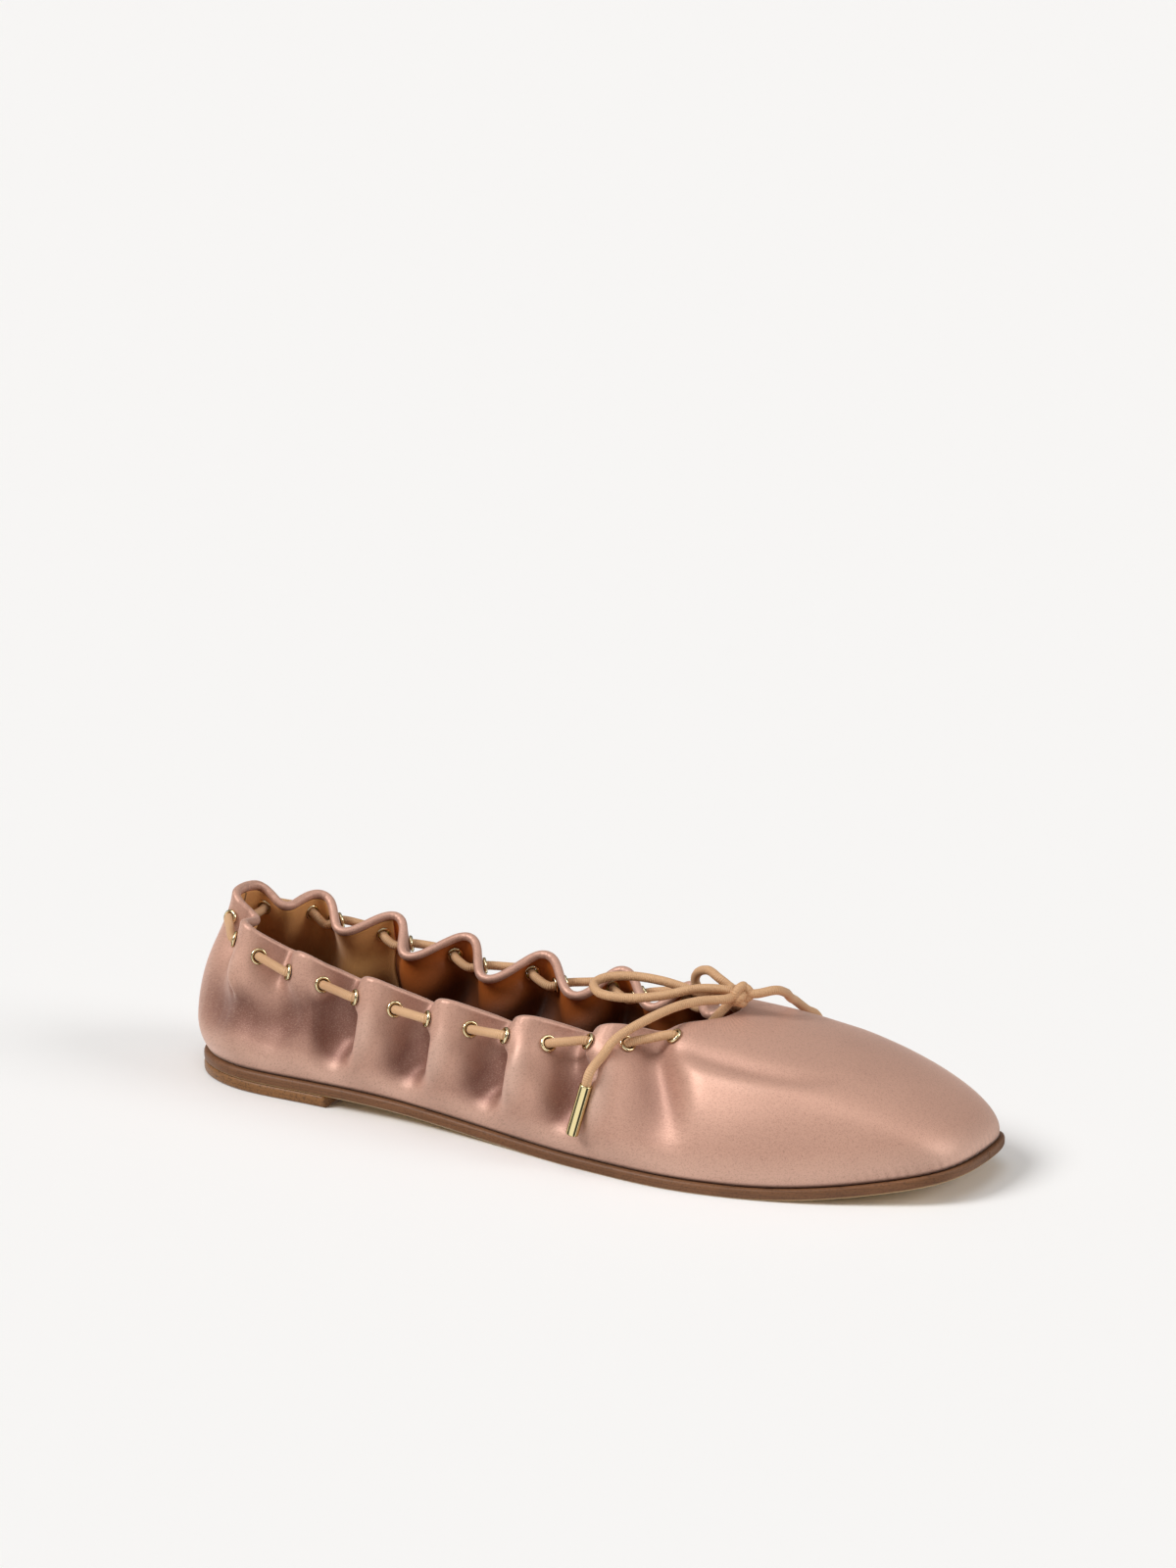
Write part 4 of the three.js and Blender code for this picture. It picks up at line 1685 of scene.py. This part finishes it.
@dataclass
class Upper:
    """The gathered upper: satin shell with a rolled edge, lining, suede heel grip and back strip.

    Attributes:
        last: The form.
        eyelets: The eyelets, whose holes go through it.
        around: Places round the shoe.
        low_rows: Rows up the wall to rim_from.
        rim_rows: Rows from there to the collar.
        rim_from: Share of the height where the finer rows begin.
        satin: Thickness of the satin.
        rim: Thickness of the rolled edge.
        rim_begins: How far below the lining's top the satin begins to thicken, as a share of the height.
        rim_full: Share of the height where it has the edge's thickness.
        lining: Thickness of the lining.
        lining_top: Share of the height at its top.
        overlap: How far a layer reaches into the one that it lies on.
        grip_reach: Collar lengths that the heel grip covers on the near and the far side.
        grip_from: Share of the height at its foot.
        grip: Thickness of the grip.
        strip_width: Width of the back strip.
        strip: Height of its dome.
        strip_flat: Power of the dome, higher for a flatter one.
        strip_bed: How deep it is bedded in the wall.
        strip_reach: Shares of the height at its foot and its head.
        strip_places: Places across it.
        strip_rows: Rows up it.
        held_foot: Share of the height up to which the sole holds the creases.
        held_round_eyelet: Distance up to which an eyelet holds them.
        held_edge: Power of that hold, higher for a sharper edge.
        gather_shade: Share of the gathers in fold, beside the creases.
        deepest: Depth that counts as 1 in fold.
        press: Depths of the creases.
        outer: Points of the outer face.
        out: Directions out of it.
        t: Places round the shoe.
        v: Shares of the height.
    """

    last: Last
    eyelets: Eyelets
    around: int = 760
    low_rows: int = 58
    rim_rows: int = 16
    rim_from: float = 0.9
    satin: float = 1.4
    rim: float = 2.6
    rim_begins: float = 0.01
    rim_full: float = 0.988
    lining: float = 0.4
    lining_top: float = 0.968
    overlap: float = 0.1
    grip_reach: tuple[float, float] = (40.0, 52.0)
    grip_from: float = 0.34
    grip: float = 0.5
    strip_width: float = 5.0
    strip: float = 0.75
    strip_flat: int = 4
    strip_bed: float = 0.4
    strip_reach: tuple[float, float] = (0.04, 0.985)
    strip_places: int = 15
    strip_rows: int = 70
    held_foot: float = 0.26
    held_round_eyelet: float = 4.2
    held_edge: int = 4
    gather_shade: float = 0.2
    deepest: float = 4.5
    press: np.ndarray = field(init=False)
    outer: np.ndarray = field(init=False)
    out: np.ndarray = field(init=False)
    t: np.ndarray = field(init=False)
    v: np.ndarray = field(init=False)

    def __post_init__(self) -> None:
        """Works out the creased outer surface and its directions."""
        self.t = self.last.even_steps(self.around)
        low = np.linspace(0, self.rim_from, self.low_rows)
        self.v = np.r_[low, np.linspace(self.rim_from, 1, self.rim_rows)[1:]]
        grid = self.last.surface(self.t[:, None], self.v[None, :])
        pressed = sum(crease.press(self.last, grid) for crease in CREASES)
        feet = np.array([place.foot for place in self.eyelets.places()])
        away = np.linalg.norm(grid[..., None, :] - feet, axis=-1).min(axis=-1)
        free = 1.0 - np.exp(-((away / self.held_round_eyelet) ** self.held_edge))
        self.press = pressed * smooth_step(0.0, self.held_foot, self.v) * free
        self.outer = grid - self.press[..., None] * self.normals(grid)
        self.out = self.normals(self.outer)

    @staticmethod
    def normals(grid: np.ndarray) -> np.ndarray:
        """Directions out of a grid that is closed round the shoe.

        Args:
            grid: Points by place round the shoe and share of the height.

        Returns:
            Unit vectors.
        """
        along = np.roll(grid, -1, axis=0) - np.roll(grid, 1, axis=0)
        return unit(np.cross(along, np.gradient(grid, axis=1)))

    def layer(self, columns: slice | np.ndarray, high: float, low: float) -> np.ndarray:
        """Closed loops round a layer of the wall: up its outer face and down its inner face.

        Args:
            columns: Which shares of the height it covers.
            high: Distance of its outer face from the wall's, inwards below 0.
            low: The same of its inner face.

        Returns:
            Loops of points, one for each place round the shoe.
        """
        outer, out = self.outer[:, columns], self.out[:, columns]
        return np.concatenate([outer + out * high, (outer + out * low)[:, ::-1]], axis=1)

    def shell(self) -> Surface:
        """The satin: the wall's outer face, half a round over the collar, and the inner face."""
        turned = smooth_step(self.lining_top - self.rim_begins, self.rim_full, self.v)
        thick = self.satin + (self.rim - self.satin) * turned
        up = unit(np.gradient(self.outer, axis=1)[:, -1])
        angle = HALF_ROUND[1:-1][None, :, None]
        middle = self.outer[:, -1] - self.out[:, -1] * self.rim / 2
        round_edge = np.cos(angle) * self.out[:, -1:] + np.sin(angle) * up[:, None]
        roll = middle[:, None] + self.rim / 2 * round_edge
        inner = self.outer - self.out * thick[:, None]
        inner[:, 0, 2] = self.outer[:, 0, 2]
        kept = np.r_[0 : self.low_rows : 2, self.low_rows : len(self.v)][::-1]
        loops = np.concatenate([self.outer, roll, inner[:, kept]], axis=1)
        surface = grid_surface(loops, True)
        share = np.concatenate([self.v, np.ones(roll.shape[1]), self.v[kept]])
        steps = np.linalg.norm(np.diff(self.outer[:, 0], axis=0, prepend=self.outer[-1:, 0]), axis=1)
        drawn = self.last.drawn_in(self.last.collar_at(self.t)[:, None], self.v[None, :])
        # fold is the creases' depth with a share of the gathers; the satin paints shade into the troughs and
        # a highlight onto the ridges from it.
        fold = np.clip((self.press + self.gather_shade * drawn) / self.deepest, -1, 1)
        rest = np.zeros((self.around, loops.shape[1] - fold.shape[1]))
        surface.values["fold"] = np.concatenate([fold, rest], axis=1).ravel()
        surface.values["share"] = np.tile(share, self.around)
        surface.values["foot_run"] = np.repeat(np.cumsum(steps), loops.shape[1]) * MM
        return surface

    def lined(self) -> Surface:
        """The lining: a thin layer inside the satin, up to the turned edge."""
        columns = np.r_[1 : self.low_rows : 2, self.low_rows : np.searchsorted(self.v, self.lining_top)]
        loops = self.layer(columns, -self.satin + self.overlap, -self.satin - self.lining)
        surface = grid_surface(loops, True)
        surface.values["share"] = np.tile(np.r_[self.v[columns], self.v[columns][::-1]], self.around)
        return surface

    def rows_near(self, far: float, near: float) -> np.ndarray:
        """Places round the heel.

        Args:
            far: Collar length on the far side where they begin.
            near: Collar length on the near side where they end.

        Returns:
            Their numbers, from the far side to the near side.
        """
        length = self.last.collar_at(self.t)
        length = np.where(length > self.last.collar / 2, length - self.last.collar, length)
        rows = np.flatnonzero((length > -far) & (length < near))
        return rows[np.argsort(length[rows])]

    def gripped(self) -> Surface:
        """The heel grip: a suede layer on the lining round the heel."""
        near, far = self.grip_reach
        rows = self.rows_near(far, near)
        columns = slice(*np.searchsorted(self.v, [self.grip_from, self.lining_top]))
        inner = -self.satin - self.lining
        loops = self.layer(columns, inner + self.overlap, inner - self.grip)[rows]
        surface = grid_surface(loops, False, loops[[0, -1]].mean(axis=1))
        share = np.r_[self.v[columns], self.v[columns][::-1]]
        surface.values["share"] = np.r_[np.tile(share, len(rows)), share.mean(), share.mean()]
        return surface

    def stripped(self) -> Surface:
        """The back strip: a domed band laid over the back seam, from near the sole to the rolled edge."""
        across = np.linspace(-1, 1, self.strip_places)
        t = self.last.t_at(across * self.strip_width / 2)
        v = np.linspace(*self.strip_reach, self.strip_rows)[:, None]
        wall, out = self.last.surface(t[None], v), self.last.normal(t[None], v)
        dome = (self.strip * (1 - np.abs(across) ** self.strip_flat))[None, :, None]
        loops = np.concatenate([wall + out * dome, (wall - out * self.strip_bed)[:, ::-1]], axis=1)
        surface = grid_surface(loops, False, loops[[0, -1]].mean(axis=1))
        surface.values["share"] = np.r_[np.repeat(v[:, 0], loops.shape[1]), v[[0, -1], 0]]
        return surface

    def build(self, finishes: Finishes) -> None:
        """Makes the upper's pieces and cuts the eyelets' holes through them.

        Args:
            finishes: The shoe's finishes.
        """
        shell = make_piece("satin_shell", self.shell(), finishes.satin, Slot.SATIN, "upper")
        lining = make_piece("lining_leather", self.lined(), finishes.lining, Slot.SOCK)
        grip = make_piece("heel_grip", self.gripped(), finishes.suede, Slot.SOCK)
        make_piece("heel_strip", self.stripped(), finishes.strip, Slot.SATIN, "back_strip")
        self.eyelets.cut_through(shell, lining, grip)


@dataclass
class Sole:
    """The outsole with its brown edge and pale tread, the stacked lift and the sock inside.

    Attributes:
        last: The form.
        margin: How far the sole reaches out from the foot.
        round_off: How far its edges are rounded off.
        round_power: Power of the rounding, higher for a tighter one.
        tread_edge: Share of the thickness over which the tread ends.
        lift_gap: Gap between the lift and the sole.
        sock_inset: How far the sock keeps in from the foot.
        sock: Thickness of the sock.
        rows: Rows along the sole and the sock.
        lift_rows: Rows along the lift.
        across: Places across a piece.
        edge: Places up its edge.
    """

    last: Last
    margin: float = 1.5
    round_off: float = 0.5
    round_power: int = 4
    tread_edge: float = 0.12
    lift_gap: float = 0.1
    sock_inset: float = 2.5
    sock: float = 1.8
    rows: int = 200
    lift_rows: int = 60
    across: int = 20
    edge: int = 14

    def edges(self, u: np.ndarray, margin: np.ndarray) -> tuple[np.ndarray, np.ndarray]:
        """The near and far edge of a piece cut to the foot.

        Args:
            u: Stations from heel to toe.
            margin: Distance out from the foot.

        Returns:
            Points of the near and the far edge, at height 0.
        """
        found = []
        for t in (u, np.mod(len(self.last.ring) - u, len(self.last.ring))):
            foot = self.last.stations(t)[..., :2]
            point = np.concatenate([foot, np.zeros_like(foot[..., :1])], axis=-1)
            found.append(point + self.last.outwards(t) * margin[..., None])
        return found[0], found[1]

    def slab(
        self, u: np.ndarray, margin: float, low: Callable[[np.ndarray], np.ndarray], thick: float
    ) -> Surface:
        """A piece cut to the foot with its edges rounded off.

        Args:
            u: Stations from heel to toe.
            margin: Distance of its edge out from the foot.
            low: Gives the height of its underside at places along the shoe.
            thick: Its thickness.

        Returns:
            The surface, with 1 in tread on its underside.
        """
        share = np.linspace(-1, 1, self.edge)
        inset = self.round_off * share**self.round_power
        near, far = self.edges(u[:, None], np.broadcast_to(margin - inset, (len(u), self.edge)))
        level = np.linspace(0, 1, self.across)[1:-1][None, :, None]
        bottom = near[:, :1] + (far[:, :1] - near[:, :1]) * level
        loops = np.concatenate([bottom, far, bottom[:, ::-1], near[:, ::-1]], axis=1)
        rise = (share + 1) / 2
        flat = np.zeros(self.across - 2)
        height = np.concatenate([flat, rise, flat + 1, rise[::-1]])
        loops[..., 2] = low(loops[..., 0]) + thick * height
        surface = grid_surface(loops, False, loops[[0, -1]].mean(axis=1))
        tread = np.clip(1 - height / self.tread_edge, 0, 1)
        surface.values["tread"] = np.r_[np.tile(tread, len(u)), 0, 0]
        return surface

    def build(self, finishes: Finishes) -> None:
        """Makes the sole's pieces.

        Args:
            finishes: The shoe's finishes.
        """
        whole = np.linspace(0, self.last.toe, self.rows)
        outsole = self.slab(whole, self.margin, self.last.tread, self.last.sole_thickness)
        make_piece("sole_leather", outsole, finishes.sole, Slot.SOLE, "outsole")
        breast = np.interp(self.last.heel_breast, self.last.stations(whole)[:, 0], whole)
        back = np.linspace(0, breast, self.lift_rows)
        lift = self.slab(back, self.margin, np.zeros_like, self.last.heel_lift - self.lift_gap)
        make_piece("stacked_lift", lift, finishes.stack, Slot.STACK, "heel_lift")
        sock = self.slab(whole, -self.sock_inset, self.last.seat, self.sock)
        make_piece("sock_leather", sock, finishes.sock, Slot.SOCK, "insole")


def direction(azimuth: float, elevation: float) -> Vector:
    """The way from the shoe to a place round it.

    Args:
        azimuth: Degrees round the shoe, 0 at -y.
        elevation: Degrees above the floor.

    Returns:
        A vector of length one.
    """
    a, e = math.radians(azimuth), math.radians(elevation)
    return Vector((math.sin(a) * math.cos(e), -math.cos(a) * math.cos(e), math.sin(e)))


@dataclass(frozen=True)
class Softbox:
    """A far softbox, which lights the whole floor evenly.

    Attributes:
        name: Its name.
        azimuth: Degrees round the shoe, 0 at -y.
        elevation: Degrees above the floor.
        spread: Degrees across, as seen from the shoe.
        strength: Watts a square metre.
    """

    name: str
    azimuth: float
    elevation: float
    spread: float
    strength: float

    def build(self) -> None:
        """Adds it to the scene."""
        way = direction(self.azimuth, self.elevation)
        data = bpy.data.lights.new(self.name, "SUN")
        data.energy = self.strength
        data.angle = math.radians(self.spread)
        lamp = add_object(self.name, data)
        lamp.location = way
        lamp.rotation_euler = (-way).to_track_quat("-Z", "Y").to_euler()


SOFTBOXES = (
    Softbox("key", -44, 44, 26, 1.98),
    Softbox("front", 98, 30, 28, 0.85),
    Softbox("top", 20, 78, 36, 0.4),
)


@dataclass
class Studio:
    """Pale floor, soft light and the camera at the photograph's angle.

    Attributes:
        azimuth: The camera's degrees round the shoe, 0 at -y.
        elevation: Its degrees above the floor.
        lens: Its focal length.
        pixels_a_mm: Scale of the image at the shoe.
        image_height: Height of the image in pixels.
        sensor: Width of the sensor.
        target: Point that the distance is taken from.
        raised: How far it looks above that point.
        moved: How far it looks to the right of that point.
        clip_start: Metres from the camera where the image begins.
        floor_colour: Colour of the floor.
        floor_reach: Metres from the middle to the floor's edge.
        light_tint: Tint of the surroundings.
        screens: Dark screens round the shoe.
        walls: Light of the screens and of the windows between them.
        window_edges: Values of the wave at their edges.
        ceiling: Light from above.
        rise: Heights between which the walls become the ceiling.
        horizon: Light along the horizon, like the floor's.
        above_horizon: Heights between which it becomes the walls.
        low_walls: Light of the screens and windows below the horizon.
        low_edges: Values of the wave at their edges.
        below_horizon: Heights between which the horizon becomes those.
    """

    azimuth: float = 30.0
    elevation: float = 18.0
    lens: float = 90.0
    pixels_a_mm: float = 3.6
    image_height: int = 1600
    sensor: float = 36.0
    target: tuple[float, float, float] = (0.0, 0.0, 22.0)
    raised: float = 74.0
    moved: float = 5.0
    clip_start: float = 0.05
    floor_colour: Rgb = (245, 244, 243)
    floor_reach: float = 30.0
    light_tint: tuple[float, float, float, float] = (1.0, 0.985, 0.965, 1.0)
    screens: float = 3.0
    walls: tuple[float, float] = (0.04, 0.3)
    window_edges: tuple[float, float] = (-0.3, 0.3)
    ceiling: float = 0.4
    rise: tuple[float, float] = (0.35, 0.8)
    horizon: float = 0.93
    above_horizon: tuple[float, float] = (0.09, 0.07)
    low_walls: tuple[float, float] = (0.06, 1.0)
    low_edges: tuple[float, float] = (-0.55, -0.25)
    below_horizon: tuple[float, float] = (-0.07, -0.1)

    def camera(self) -> None:
        """Sets the camera, which looks past the shoe, so that the shoe lies low in the image."""
        a = math.radians(self.azimuth)
        back = direction(self.azimuth, self.elevation)
        right = Vector((math.cos(a), math.sin(a), 0.0))
        above = back.cross(right)
        distance = self.image_height / self.pixels_a_mm * self.lens / self.sensor * MM
        target = Vector(self.target) * MM
        data = bpy.data.cameras.new("camera")
        data.lens = self.lens
        data.sensor_width = self.sensor
        data.clip_start = self.clip_start
        camera = add_object("camera", data)
        camera.location = target + back * distance
        aim = target + (above * self.raised + right * self.moved) * MM
        camera.rotation_euler = (aim - camera.location).to_track_quat("-Z", "Y").to_euler()
        bpy.context.scene.camera = camera

    def floor(self) -> None:
        """Lays the floor. Shiny pieces mirror the surroundings in its place."""
        finish = Finish("floor", self.floor_colour, self.floor_colour, roughness=0.9, specular=0.0)
        material = finish.begin()[0]
        reach = self.floor_reach
        mesh = bpy.data.meshes.new("floor")
        corners = [(-reach, -reach, 0), (reach, -reach, 0), (reach, reach, 0), (-reach, reach, 0)]
        mesh.from_pydata(corners, [], [(0, 1, 2, 3)])
        mesh.materials.append(material)
        floor = add_object("floor", mesh)
        floor.visible_glossy = False

    @staticmethod
    def blend(
        tree: bpy.types.NodeTree, share: bpy.types.NodeSocket, first: object, second: object
    ) -> bpy.types.NodeSocket:
        """Blends two strengths of light.

        Args:
            tree: The world's nodes.
            share: Share of the second.
            first: First value or socket.
            second: Second value or socket.

        Returns:
            The blend.
        """
        return add_node(tree, "ShaderNodeMix", Factor=share, _2=first, _3=second).outputs[0]

    def world(self) -> None:
        """Makes the surroundings: light from above, dark screens between windows, and a pale horizon."""
        world = bpy.data.worlds.new("studio")
        bpy.context.scene.world = world
        world.use_nodes = True
        tree = world.node_tree
        parts = split(tree, add_node(tree, "ShaderNodeTexCoord").outputs["Generated"])
        height = parts["Z"]
        round_about = maths(tree, "ARCTAN2", parts["Y"], parts["X"])
        stripes = maths(tree, "SINE", maths(tree, "MULTIPLY", round_about, self.screens))
        walls = self.blend(tree, ranged(tree, stripes, *self.window_edges, 1.0), *self.walls)
        above = self.blend(tree, ranged(tree, height, *self.rise, 1.0), walls, self.ceiling)
        glow = self.blend(tree, ranged(tree, height, *self.above_horizon, 1.0), above, self.horizon)
        below = self.blend(tree, ranged(tree, stripes, *self.low_edges, 1.0), *self.low_walls)
        glow = self.blend(tree, ranged(tree, height, *self.below_horizon, 1.0), glow, below)
        back = tree.nodes["Background"]
        back.inputs["Color"].default_value = self.light_tint
        tree.links.new(glow, back.inputs["Strength"])

    def build(self) -> None:
        """Makes the whole studio."""
        self.camera()
        self.floor()
        self.world()
        for softbox in SOFTBOXES:
            softbox.build()
        bpy.context.scene.view_settings.view_transform = "Standard"


def main() -> None:
    """Builds the shoe and its studio."""
    logging.basicConfig(level=logging.INFO)
    last = Last()
    finishes = Finishes(Effects())
    eyelets = Eyelets(last)
    Studio().build()
    Upper(last, eyelets).build(finishes)
    Sole(last).build(finishes)
    eyelets.build(finishes.ring_gold)
    Lace(last, eyelets).build(finishes)


if __name__ == "__main__":
    main()
